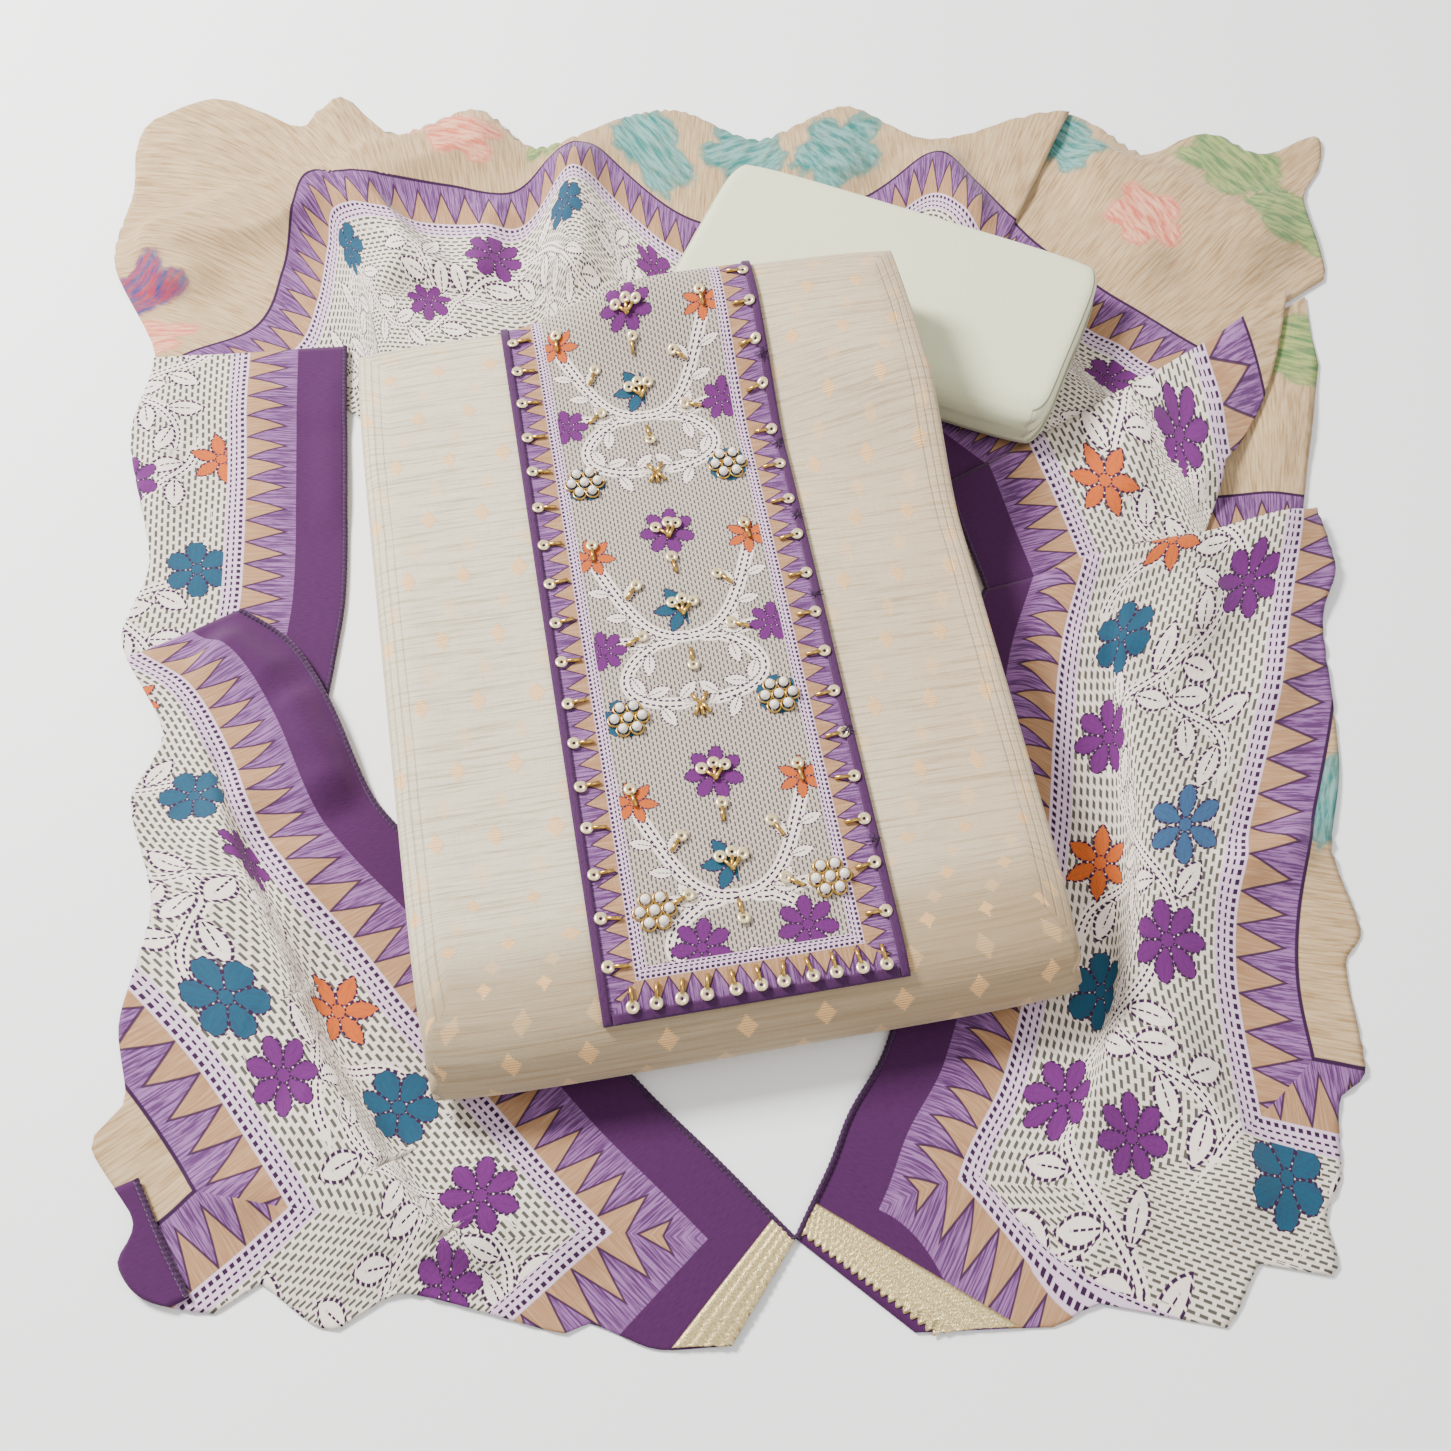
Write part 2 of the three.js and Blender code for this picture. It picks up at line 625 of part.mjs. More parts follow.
// What is sewn on the kameez's front: a wall over a run of its own points, moved out along its normals.
const NORMALS = kameez.geometry.getAttribute("normal");
const TOP_RING = KAMEEZ_RINGS.length - 1;
const lastRow = KAMEEZ_ROWS.length - 1;
const PANEL_PATH = [
  ...[8, 9, 10].map((ring) => [ring, 0]), // up the front roll
  ...KAMEEZ_ROWS.map((_, row) => [TOP_RING, row]), // along the top
  ...[10, 9, 8, 7].map((ring) => [ring, lastRow]), // and down over the far edge
];

function pointOut([ring, row], x, out) {
  const at = KAMEEZ_COLUMNS.at;
  let i = 0;
  while (at[i + 1] < x) i++;
  const share = (x - at[i]) / (at[i + 1] - at[i]);
  const corner = (column) => {
    const v = kameez.vertex(ring, column, row);
    return [0, 1, 2].map((c) => kameez.positions[3 * v + c] + out * NORMALS.getComponent(v, c));
  };
  const [a, b] = [corner(i), corner(i + 1)];
  return a.map((value, c) => value + share * (b[c] - value));
}

function sewnWall(path, xs, out, thickness) {
  const layer = (distance) => path.map((step) => xs.map((x) => pointOut(step, x, distance)));
  return wall(layer(out + thickness), layer(out));
}

const INNER_EDGE = PANEL.halfWidth - PANEL.binding;
const panelXs = [-PANEL.halfWidth, -INNER_EDGE, -32, 0, 32, INNER_EDGE, PANEL.halfWidth];
addPiece("neck_panel", sewnWall(PANEL_PATH, panelXs, PANEL.gap, PANEL.wall), 0xc3b6bc, 0.8);

const onPanel = 2 * PANEL.gap + PANEL.wall;
const leftXs = [-PANEL.halfWidth, -INNER_EDGE];
const rightXs = [INNER_EDGE, PANEL.halfWidth];
addPiece("binding_left", sewnWall(PANEL_PATH, leftXs, onPanel, PANEL.bindingWall), 0x4f2456, 0.8);
addPiece("binding_right", sewnWall(PANEL_PATH, rightXs, onPanel, PANEL.bindingWall), 0x4f2456, 0.8);
const lowerXs = [-INNER_EDGE + PANEL.gap, -32, 0, 32, INNER_EDGE - PANEL.gap];
addPiece("binding_lower", sewnWall(PANEL_PATH.slice(0, 2), lowerXs, onPanel, PANEL.bindingWall), 0x4f2456, 0.8);

for (const piece of garments.children) piece.geometry = mergeVertices(piece.geometry, 1e-4);

export default suit;
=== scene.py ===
import math
import random

import bpy
import numpy as np
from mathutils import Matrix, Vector


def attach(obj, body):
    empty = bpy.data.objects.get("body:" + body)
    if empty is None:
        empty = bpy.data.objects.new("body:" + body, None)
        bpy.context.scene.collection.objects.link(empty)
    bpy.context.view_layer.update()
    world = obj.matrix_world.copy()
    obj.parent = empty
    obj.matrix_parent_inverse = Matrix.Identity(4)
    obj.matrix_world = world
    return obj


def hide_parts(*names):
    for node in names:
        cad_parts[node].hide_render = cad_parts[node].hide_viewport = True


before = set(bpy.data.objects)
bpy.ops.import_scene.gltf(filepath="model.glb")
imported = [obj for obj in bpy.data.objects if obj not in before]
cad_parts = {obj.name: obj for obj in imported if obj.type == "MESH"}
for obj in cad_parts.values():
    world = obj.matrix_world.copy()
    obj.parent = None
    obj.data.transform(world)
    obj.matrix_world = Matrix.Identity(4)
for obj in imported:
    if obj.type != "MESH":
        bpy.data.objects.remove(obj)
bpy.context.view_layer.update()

# --------------------------------------------------------------------------------------------------
# The pale table that the set lies on, a window on its left and the room's own light over it, and the camera,
# which looks down on the set from the front.
# --------------------------------------------------------------------------------------------------

MM = 0.001
CENTRE = (1.85, 73.5)  # the set's middle in the laying-out drawing, in which the tables below are measured
CAMERA_HEIGHT_ANGLE = math.radians(61.6)
CAMERA_DISTANCE = 0.858
SENSOR = 36.0
LENS = SENSOR * 1717 / 1451
NAP_ROUGHNESS = 0.45  # of the fine hairs that stand on a cloth


class Wire:
    """A shader socket that takes part in Python expressions: an operator adds its Math node."""

    def __init__(self, socket):
        self.socket = socket

    def node(self, kind, settings=(), values=(), out=0):
        made = self.socket.id_data.nodes.new(kind)
        for name, value in dict(settings).items():
            setattr(made, name, value)
        for name, value in dict(values).items():
            if isinstance(value, Wire):
                self.socket.id_data.links.new(value.socket, made.inputs[name])
            else:
                made.inputs[name].default_value = value
        return Wire(made.outputs[out])

    def math(self, operation, *others):
        return self.node("ShaderNodeMath", {"operation": operation}, enumerate((self, *others)))

    def __add__(self, other):
        return self.math("ADD", other)

    __radd__ = __add__

    def __mul__(self, other):
        return self.math("MULTIPLY", other)

    __rmul__ = __mul__

    def __sub__(self, other):
        return self.math("SUBTRACT", other)

    def __rsub__(self, other):
        return self.node("ShaderNodeMath", {"operation": "SUBTRACT"}, {0: other, 1: self})

    def __truediv__(self, other):
        return self.math("DIVIDE", other)

    def __abs__(self):
        return self.math("ABSOLUTE")

    def __pow__(self, other):
        return self.math("POWER", other)

    def low(self, other):
        return self.math("MINIMUM", other)

    def high(self, other):
        return self.math("MAXIMUM", other)

    def below(self, edge, soft=0.15):
        """1 where this is under the edge, 0 over it, with a soft step between them."""
        ramp = {"interpolation_type": "SMOOTHSTEP", "clamp": True}
        step = {"Value": self - edge, "From Min": -soft, "From Max": soft, "To Min": 1.0, "To Max": 0.0}
        return self.node("ShaderNodeMapRange", ramp, step)

    def above(self, edge, soft=0.15):
        return 1 - self.below(edge, soft)

    def within(self, low, high, soft=0.15):
        return self.above(low, soft) * self.below(high, soft)

    def parts(self):
        split = self.node("ShaderNodeSeparateXYZ", values={0: self}).socket.node
        return [Wire(output) for output in split.outputs]

    def joined(self, y, z=0.0):
        return self.node("ShaderNodeCombineXYZ", values={0: self, 1: y, 2: z})

    def noise(self, detail=2.0, roughness=0.5):
        values = {"Vector": self, "Scale": 1.0, "Detail": detail, "Roughness": roughness}
        return self.node("ShaderNodeTexNoise", values=values)

    def scaled(self, by):
        return self.node("ShaderNodeVectorMath", {"operation": "SCALE"}, {0: self, "Scale": by})

    def plain(self, colour):
        """One colour, for others to be laid over."""
        made = self.node("ShaderNodeRGB")
        made.socket.default_value = (*colour, 1)
        return made

    def painted(self, mask, colour):
        """This colour with another laid over it where the mask is 1."""
        mix = self.node("ShaderNodeMix", {"data_type": "RGBA"}).socket.node
        tree = mix.id_data
        for name, value in (("Factor", mask), ("A", self), ("B", colour)):
            socket = next(s for s in mix.inputs if s.name == name and s.enabled)
            if isinstance(value, Wire):
                tree.links.new(value.socket, socket)
            else:
                socket.default_value = value if name == "Factor" else (*value, 1)
        return Wire(next(s for s in mix.outputs if s.enabled))


def finish(name, roughness, sheen=0.0, sheen_tint=(1, 1, 1), metallic=0.0, specular=0.3):
    """A new material, with its surface shader and a wire to start expressions from."""
    made = bpy.data.materials.new(name)
    made.use_nodes = True
    surface = made.node_tree.nodes["Principled BSDF"]
    surface.inputs["Roughness"].default_value = roughness
    surface.inputs["Metallic"].default_value = metallic
    surface.inputs["Specular IOR Level"].default_value = specular
    surface.inputs["Sheen Weight"].default_value = sheen
    surface.inputs["Sheen Roughness"].default_value = NAP_ROUGHNESS
    surface.inputs["Sheen Tint"].default_value = (*sheen_tint, 1)
    return made, surface, Wire(surface.outputs[0])


def light(name, place, size, power, colour):
    lamp = bpy.data.lights.new(name, "AREA")
    lamp.shape = "DISK"
    lamp.size = size
    lamp.energy = power
    lamp.color = colour
    holder = bpy.data.objects.new(name, lamp)
    holder.location = place
    holder.rotation_euler = (-Vector(place)).to_track_quat("-Z", "Y").to_euler()
    bpy.context.scene.collection.objects.link(holder)


camera = bpy.data.objects.new("camera", bpy.data.cameras.new("camera"))
camera.data.sensor_width = SENSOR
camera.data.lens = LENS
camera.location = (
    -CENTRE[0] * MM,
    -CENTRE[1] * MM - CAMERA_DISTANCE * math.cos(CAMERA_HEIGHT_ANGLE),
    CAMERA_DISTANCE * math.sin(CAMERA_HEIGHT_ANGLE),
)
camera.rotation_euler = (math.pi / 2 - CAMERA_HEIGHT_ANGLE, 0, 0)
bpy.context.scene.collection.objects.link(camera)
bpy.context.scene.camera = camera

light("window_light", (-1.25, 0.75, 1.35), 0.6, 108, (1.0, 0.985, 0.955))
light("room_light", (1.4, -0.9, 1.8), 2.2, 20, (1.0, 0.985, 0.96))
world = bpy.data.worlds.new("room")
bpy.context.scene.world = world
world.use_nodes = True
world.node_tree.nodes["Background"].inputs[0].default_value = (1.0, 0.99, 0.975, 1)
world.node_tree.nodes["Background"].inputs[1].default_value = 0.8

table_paint, table_surface, _ = finish("table_paint", roughness=0.6)
table_surface.inputs["Base Color"].default_value = (0.93, 0.935, 0.945, 1)
TABLE_HALF = 3.0
UNDER = 0.0003  # the table's top is just under the set, so that the two don't flicker
table_mesh = bpy.data.meshes.new("table_top")
table_corners = [(x * TABLE_HALF, y * TABLE_HALF, 0) for x, y in ((-1, -1), (1, -1), (1, 1), (-1, 1))]
table_mesh.from_pydata(table_corners, [], [(0, 1, 2, 3)])
table_mesh.materials.append(table_paint)
table_top = bpy.data.objects.new("table_top", table_mesh)
table_top.location.z = -UNDER
bpy.context.scene.collection.objects.link(table_top)

# --------------------------------------------------------------------------------------------------
# Dupatta: one printed length of thin slub cloth, hemmed all round. It lies in stretches round and under
# the two folded garments. A stretch runs along its hem, and its sections cross it from the hem inwards.
# --------------------------------------------------------------------------------------------------

WALL = 1.2  # the cloth's height over what it lies on, with the air under it, in millimetres like all below
LAYER = 2.0  # lift of a stretch that lies over another
PLAIN_FROM = 209.0  # where the plain middle starts, in from the hem
CLOTH = 0.5  # thickness of the cloth itself
STITCH = 3.0  # spacing of the mesh


def footprint(x, y, half_width, half_length, turn, base):
    """Where a folded garment lies, and how far over the table it starts."""
    turn = math.radians(turn)
    return {"x": x, "y": y, "half_width": half_width, "half_length": half_length, "turn": turn, "base": base}


KAMEEZ = footprint(-19.0, 30.0, 149.0, 206.0, 10, 3.4)
SALWAR = footprint(87.0, 264.5, 113.0, 62.5, -22.5, 3.6)

# The outline of what is laid out, one point per crest or hollow of its wavy edge.
OUTLINE = [
    # back
    (-359, 397), (-354, 421), (-314, 443), (-262, 418), (-240, 445), (-202, 410), (-155, 433), (-116, 399),
    (-65, 425), (-28, 431), (21, 406), (74, 436), (125, 407), (210, 429), (252, 393), (294, 412),
    (326, 393), (361, 410),
    # right
    (360, 385), (345, 356), (349, 300), (334, 270), (333, 204), (315, 143), (319, 92), (308, 61),
    (303, -20), (291, -69), (298, -110), (288, -127), (288, -177), (274, -191), (269, -226), (260, -241),
    (261, -264),
    # front
    (241, -275), (229, -261), (214, -284), (205, -288), (160, -278), (140, -287), (121, -288), (52, -291),
    (-11, -296), (-31, -296), (-57, -286), (-69, -290), (-136, -274), (-159, -288), (-174, -286),
    (-200, -269), (-211, -282), (-245, -277), (-259, -262),
    # left
    (-255, -244), (-280, -211), (-268, -191), (-277, -154), (-271, -97), (-290, -42), (-279, -6),
    (-310, 49), (-303, 98), (-326, 177), (-322, 237), (-356, 304), (-355, 364),
]


def ease(t):
    s = np.clip(t, 0, 1)
    return s * s * (3 - 2 * s)


def hermite(t, start, end, leaving, arriving):
    """A smooth run from start to end, by how it leaves the one and arrives at the other."""
    run = (2 * t**3 - 3 * t**2 + 1) * start + (t**3 - 2 * t**2 + t) * leaving
    return run + (-2 * t**3 + 3 * t**2) * end + (t**3 - t**2) * arriving


def closed_curve(points, steps, tension):
    points = np.array(points, float)
    before, after, further = np.roll(points, 1, 0), np.roll(points, -1, 0), np.roll(points, -2, 0)
    t = (np.arange(steps) / steps)[None, :, None]
    p0, p1 = points[:, None], after[:, None]
    m0, m1 = tension * (after - before)[:, None], tension * (further - points)[:, None]
    return hermite(t, p0, p1, m0, m1).reshape(-1, 2)


RIM = closed_curve(OUTLINE, 6, 0.4)


def inside_rim(x, y):
    hits = np.zeros(np.shape(x), bool)
    for (xi, yi), (xj, yj) in zip(RIM, np.roll(RIM, 1, 0)):
        if yi != yj:
            hits ^= ((yi > y) != (yj > y)) & (x < (xj - xi) * (y - yi) / (yj - yi) + xi)
    return hits


def rim_distance(x, y):
    nearest = np.full(np.shape(x), 1e9)
    for rx, ry in RIM:
        nearest = np.minimum(nearest, (rx - x) ** 2 + (ry - y) ** 2)
    return np.sqrt(nearest)


def side_of(x, y, line):
    x0, y0, x1, y1 = line
    return ((x1 - x0) * (y - y0) - (y1 - y0) * (x - x0)) / math.hypot(x1 - x0, y1 - y0)


def clear_of(garment, x, y):
    """Distance from a folded garment's footprint, negative inside it."""
    dx, dy = x - garment["x"], y - garment["y"]
    c, s = math.cos(garment["turn"]), math.sin(garment["turn"])
    across = np.abs(dx * c + dy * s) - garment["half_width"]
    along = np.abs(-dx * s + dy * c) - garment["half_length"]
    return np.hypot(np.maximum(across, 0), np.maximum(along, 0)) + np.minimum(np.maximum(across, along), 0)


def ridge_height(ridge, x, y):
    x0, y0, x1, y1, left, right, height = ridge
    length = math.hypot(x1 - x0, y1 - y0)
    along = ((x - x0) * (x1 - x0) + (y - y0) * (y1 - y0)) / length
    side = side_of(x, y, (x0, y0, x1, y1))
    fade = length * 0.25 + 8
    ends = ease((along + fade * 0.4) / fade) * ease((length - along + fade * 0.4) / fade)
    across = np.where(side > 0, side / left, side / right)
    return height * ends * np.exp(-across * across)


def ripples(x, y, loose):
    """Small uneven waves of thin cloth, larger where it is loose."""
    slant = (0.55 * x + 0.83 * y) / (13 + 4 * loose) + 1.3 * np.sin(x / 41 + 0.7) + 0.8 * np.sin(y / 29)
    cross = (0.8 * x - 0.6 * y) / 19 + 1.1 * np.sin(y / 37)
    return (0.5 + 1.5 * loose) * (np.sin(slant) + 0.55 * np.sin(cross) * np.sin(slant / 2.7) + 1)


X, Y, DIRECTION, CURL, CREASE, TAKES, STANDS = range(7)  # columns of a stretch's table


class Stretch:
    """A stretch of the dupatta, laid out from a table of its sections."""

    def __init__(self, start, sections, ridges, calm=(), keep=None, lift=None, reach=None, anchor=0.0):
        self.start = start
        self.rows = np.array(sections, float)
        steps = np.hypot(*np.diff(self.rows[:, :2], axis=0).T)
        self.distances = np.concatenate([[0], np.cumsum(steps)])
        self.length = self.distances[-1]
        self.ridges = ridges
        self.calm = calm
        self.keep = keep or (lambda x, y: x == x)
        self.lift = lift or (lambda x, y, b: 0 * x)
        self.reach = reach
        self.anchor = anchor

    def value(self, column, b):
        """A smooth curve through one column of the table."""
        d, v = self.distances, self.rows[:, column]
        last = len(d) - 1
        lower, upper = np.maximum(np.arange(last + 1) - 1, 0), np.minimum(np.arange(last + 1) + 1, last)
        slopes = (v[upper] - v[lower]) / (d[upper] - d[lower])
        t = np.clip(b, 0, d[last])
        i = np.clip(np.searchsorted(d, t, side="left") - 1, 0, last - 1)
        run = d[i + 1] - d[i]
        s = (t - d[i]) / run
        return hermite(s, v[i], v[i + 1], run * slopes[i], run * slopes[i + 1])

    def laid(self, b, a):
        """How far from the hem a place of the flat cloth lies, once a crease has taken cloth up."""
        takes = np.maximum(0, self.value(TAKES, b))
        return a - takes * ease((a - self.value(CREASE, b)) / (1.5 * takes + 6))

    def place(self, b, run):
        turned = np.radians(self.value(DIRECTION, b) + self.value(CURL, b) * run / 200)
        return self.value(X, b) + run * np.cos(turned), self.value(Y, b) + run * np.sin(turned)

    def flat(self, b, run):
        """How far from the hem, in the flat cloth, the place is."""
        target = run + self.laid(b, self.start)
        low, high = np.full(np.shape(run), -60.0), np.full(np.shape(run), 700.0)
        for _ in range(28):
            middle = (low + high) / 2
            under = self.laid(b, middle) < target
            low, high = np.where(under, middle, low), np.where(under, high, middle)
        return (low + high) / 2

    def height(self, b, run):
        x, y = self.place(b, run)
        takes, stands = np.maximum(0, self.value(TAKES, b)), np.maximum(0, self.value(STANDS, b))
        width = 1.5 * takes + 6
        past = self.flat(b, run) - self.value(CREASE, b)
        folds = stands * ease(past / width) * (1 - ease((past - width) / 60))
        for ridge in self.ridges:
            folds = folds + ridge_height(ridge, x, y)
        press = ease((clear_of(KAMEEZ, x, y) - 3) / 26) * ease((clear_of(SALWAR, x, y) - 3) / 22)
        for line in self.calm:
            press = press * ease((side_of(x, y, line) - 3) / 24)
        folds = folds + ripples(x, y, ease((self.flat(b, run) - PLAIN_FROM + 30) / 60))
        edge = 0.3 + 0.7 * ease(rim_distance(x, y) / 24)
        return WALL + self.lift(x, y, b) + folds * press * edge

    def limit(self, b, sign, most):
        """How far each section runs one way before it leaves the outline or what the stretch keeps."""
        step = 1.5
        run = np.full(len(b), self.anchor)
        going = np.ones(len(b), bool)
        while going.any():
            x, y = self.place(b, run + sign * step)
            going &= inside_rim(x, y) & self.keep(x, y) & (sign * run < most)
            run = np.where(going, run + sign * step, run)
        low, high = run, run + sign * step
        for _ in range(8):
            middle = (low + high) / 2
            x, y = self.place(b, middle)
            fits = inside_rim(x, y) & self.keep(x, y)
            low, high = np.where(fits, middle, low), np.where(fits, high, middle)
        return sign * np.minimum(sign * low, most)

    def grid(self, spacing):
        """Plan places, heights and flat places of a net of points over the stretch."""
        b = np.linspace(0, self.length, max(2, int(self.length / spacing)) + 1)
        most = np.full(len(b), 600.0)
        if self.reach:
            most = np.interp(b, np.linspace(0, self.length, len(self.reach)), self.reach)
        outer = self.limit(b, 1, most)
        if self.start:
            low, high = np.zeros(len(b)), np.full(len(b), PLAIN_FROM)
            for _ in range(24):
                middle = (low + high) / 2
                over = self.flat(b, -middle) > 0
                low, high = np.where(over, middle, low), np.where(over, high, middle)
            inner = self.limit(b, -1, low)
        else:
            inner = np.zeros(len(b))
        cells = int((outer - inner).max() / spacing) + 1
        run = inner[:, None] + (outer - inner)[:, None] * np.linspace(0, 1, cells + 1)
        along = np.repeat(b[:, None], cells + 1, 1)
        x, y = self.place(along, run)
        return x, y, self.height(along, run), self.flat(along, run), along


def line_height(x, points):
    xs, ys = zip(*points)
    return np.interp(x, xs, ys)


# How far the back left stretch is carried forward, under the rest.
TOP_LEFT_FRONT = [(-360, 198), (-215, 206), (-200, 188), (-40, 212), (60, 238), (100, 262), (200, 262)]

STRETCHES = {
    # A section is x, y, direction, curl, where a crease lies, what cloth it takes up and how high it stands.
    # A ridge is the two ends of its crest, its reach to the left and to the right, and its height.
    "dupatta_top_left": Stretch(
        PLAIN_FROM,
        [
            (-322, 222, 162, 20, 110, 0, 0), (-305, 238, 157, 20, 110, 0, 0),
            (-268, 258, 150, 25, 110, 0, 0), (-257, 298, 145, 35, 110, 0, 0),
            (-254, 340, 140, 35, 110, 0, 0), (-247, 366, 128, 25, 110, 0, 0),
            (-205, 366, 108, 10, 110, 8, 4), (-165, 364, 100, 5, 110, 8, 4), (-126, 361, 98, 0, 110, 5, 2),
            (-91, 402, 92, 0, 110, 5, 2), (-21, 341, 88, 0, 110, 5, 0), (30, 335, 92, 0, 110, 5, 0),
            (80, 357, 98, 6, 110, 5, 0), (127, 386, 84, 4, 110, 5, 0), (172, 338, 66, 0, 110, 5, 0),
        ],
        [
            (-350, 312, -238, 368, 15, 26, 13), (-238, 368, -130, 424, 15, 26, 13),
            (-300, 318, -246, 372, 12, 22, 9), (-345, 250, -296, 300, 18, 22, 8),
            (-228, 358, -190, 318, 12, 14, 9), (-190, 318, -196, 262, 12, 14, 8),
            (-214, 352, -160, 288, 8, 12, 6), (-92, 405, -84, 270, 16, 18, 12),
            (-136, 352, -146, 282, 10, 12, 5), (-262, 430, -190, 400, 16, 16, 5),
            (20, 425, 84, 372, 16, 16, 5), (126, 400, 150, 330, 12, 18, 9),
        ],
        calm=[(-330, 268, -190, 272)],
        anchor=-20.0,
        keep=lambda x, y: y > line_height(x, TOP_LEFT_FRONT),
        lift=lambda x, y, b: LAYER * ease((b - TOP_LEFT_LENGTH + 42) / 20),
    ),
    "dupatta_top_right": Stretch(
        PLAIN_FROM,
        [
            (160, 356, 68, 0, 100, 40, 0), (182, 322, 56, 0, 100, 40, 0), (216, 287, 47, 0, 100, 40, 3),
            (246, 260, 43, 0, 100, 38, 3), (272, 239, 36, 0, 100, 34, 0),
        ],
        [(184, 404, 320, 306, 20, 28, 13), (224, 424, 336, 338, 20, 22, 6), (222, 366, 250, 292, 16, 18, 6)],
        calm=[(119, 147, 330, 285), (218, 440, 138, 210)],
        anchor=-30.0,
    ),
    "dupatta_left_side": Stretch(
        0.0,
        [
            (-214, 241, 184, 0, 90, 0, 0), (-209, 190, 182, 0, 90, 0, 0), (-203, 134, 180, 0, 90, 0, 0),
            (-198, 75, 179, 0, 90, 0, 0), (-199, 40, 180, 0, 90, 0, 0), (-201, 5, 184, 0, 90, 0, 0),
        ],
        [
            (-318, 212, -300, 104, 14, 14, 5), (-262, 228, -240, 120, 16, 16, 3),
            (-214, 220, -206, 120, 9, 12, 3),
        ],
        calm=[(-304, 42, -250, 71)],
        lift=lambda x, y, b: LAYER * ease((y - 176) / 22),
    ),
    "dupatta_left_end": Stretch(
        0.0,
        [
            (30, -251, 238, 0, 100, 0, 0), (21, -242, 231, 0, 100, 0, 0), (-5, -216, 222, 0, 100, 0, 0),
            (-34, -188, 222, 0, 98, 10, 3), (-66, -153, 223, 0, 94, 28, 9),
            (-100, -117, 220, 0, 84, 36, 11), (-128, -85, 214, 0, 72, 36, 13),
            (-155, -60, 204, 0, 62, 28, 13), (-173, -39, 200, 0, 60, 12, 8), (-198, 11, 203, 0, 60, 0, 4),
            (-222, 46, 206, 0, 60, 0, 3), (-250, 66, 208, 0, 60, 0, 0),
        ],
        [
            (-262, 46, -222, 18, 14, 18, 11), (-222, 18, -188, -44, 14, 18, 11),
            (-236, -28, -246, -112, 16, 16, 6), (-205, -60, -212, -150, 18, 14, 5),
            (-190, -196, -150, -214, 14, 14, 6), (-150, -214, -98, -262, 14, 16, 8),
            (-120, -204, -60, -262, 14, 18, 5), (-238, -230, -200, -236, 10, 12, 5),
        ],
        lift=lambda x, y, b: LAYER * ease((y + 30) / 20),
    ),
    "dupatta_left_tip": Stretch(
        0.0,
        [(-256, -226, 204, 0, 60, 0, 0), (-240, -254, 206, 0, 60, 0, 0), (-226, -276, 208, 0, 60, 0, 0)],
        [],
        lift=lambda x, y, b: 1.2 * LAYER + 0 * x,
    ),
    "dupatta_right_side": Stretch(
        0.0,
        [
            (143, 40, 14, 0, 112, 38, 5), (135, 80, 14, 2, 112, 36, 6), (126, 115, 16, 4, 112, 24, 5),
            (119, 147, 30, 3, 112, 0, 0),
        ],
        [(232, 206, 212, 130, 16, 16, 7), (272, 214, 246, 120, 12, 12, 4)],
        calm=[(134, 82, 317, 140)],
        lift=lambda x, y, b: LAYER + 0 * x,
        reach=(112, 119, 150, 246),
    ),
    "dupatta_right_plain": Stretch(
        PLAIN_FROM,
        [
            (232, 138, 90, 0, 100, 0, 0), (262, 139, 88, 0, 100, 0, 0), (288, 141, 84, 0, 100, 0, 0),
            (311, 139, 76, 0, 100, 0, 0),
        ],
        [(304, 240, 294, 160, 12, 12, 4)],
        calm=[(327, 277, 251, 107)],
        anchor=20.0,
        keep=lambda x, y: (y < line_height(x, [(130, 133), (272, 237), (352, 295)]) - 1.5) & (y > 96),
    ),
    "dupatta_right_end": Stretch(
        0.0,
        [
            (30, -251, -38, 0, 85, 0, 0), (36, -239, -33, 0, 85, 0, 0), (46, -219, -23, 0, 85, 0, 0),
            (55, -197, -18, 0, 85, 0, 0), (72, -168, -14, 0, 85, 10, 5), (90, -110, -8, 0, 84, 33, 10),
            (101, -60, -4, 0, 82, 32, 12), (109, -10, 3, 0, 80, 16, 9), (118, 35, 10, 0, 80, 4, 3),
            (134, 77, 16, 0, 80, 0, 0),
        ],
        [
            (165, 90, 262, 106, 12, 20, 8), (262, 106, 312, 128, 12, 20, 6), (250, 84, 226, 30, 14, 18, 7),
            (300, 60, 268, 6, 12, 16, 6), (236, -82, 286, -58, 8, 16, 9), (196, -148, 232, -246, 14, 20, 8),
            (146, -176, 176, -252, 14, 16, 5),
        ],
        lift=lambda x, y, b: 2 * LAYER * ease((clear_of(KAMEEZ, x, y) + 12) / 11)
        * ease((side_of(x, y, (143, 40, 280, 74)) + 24) / 18),
    ),
}
TOP_LEFT_LENGTH = STRETCHES["dupatta_top_left"].length

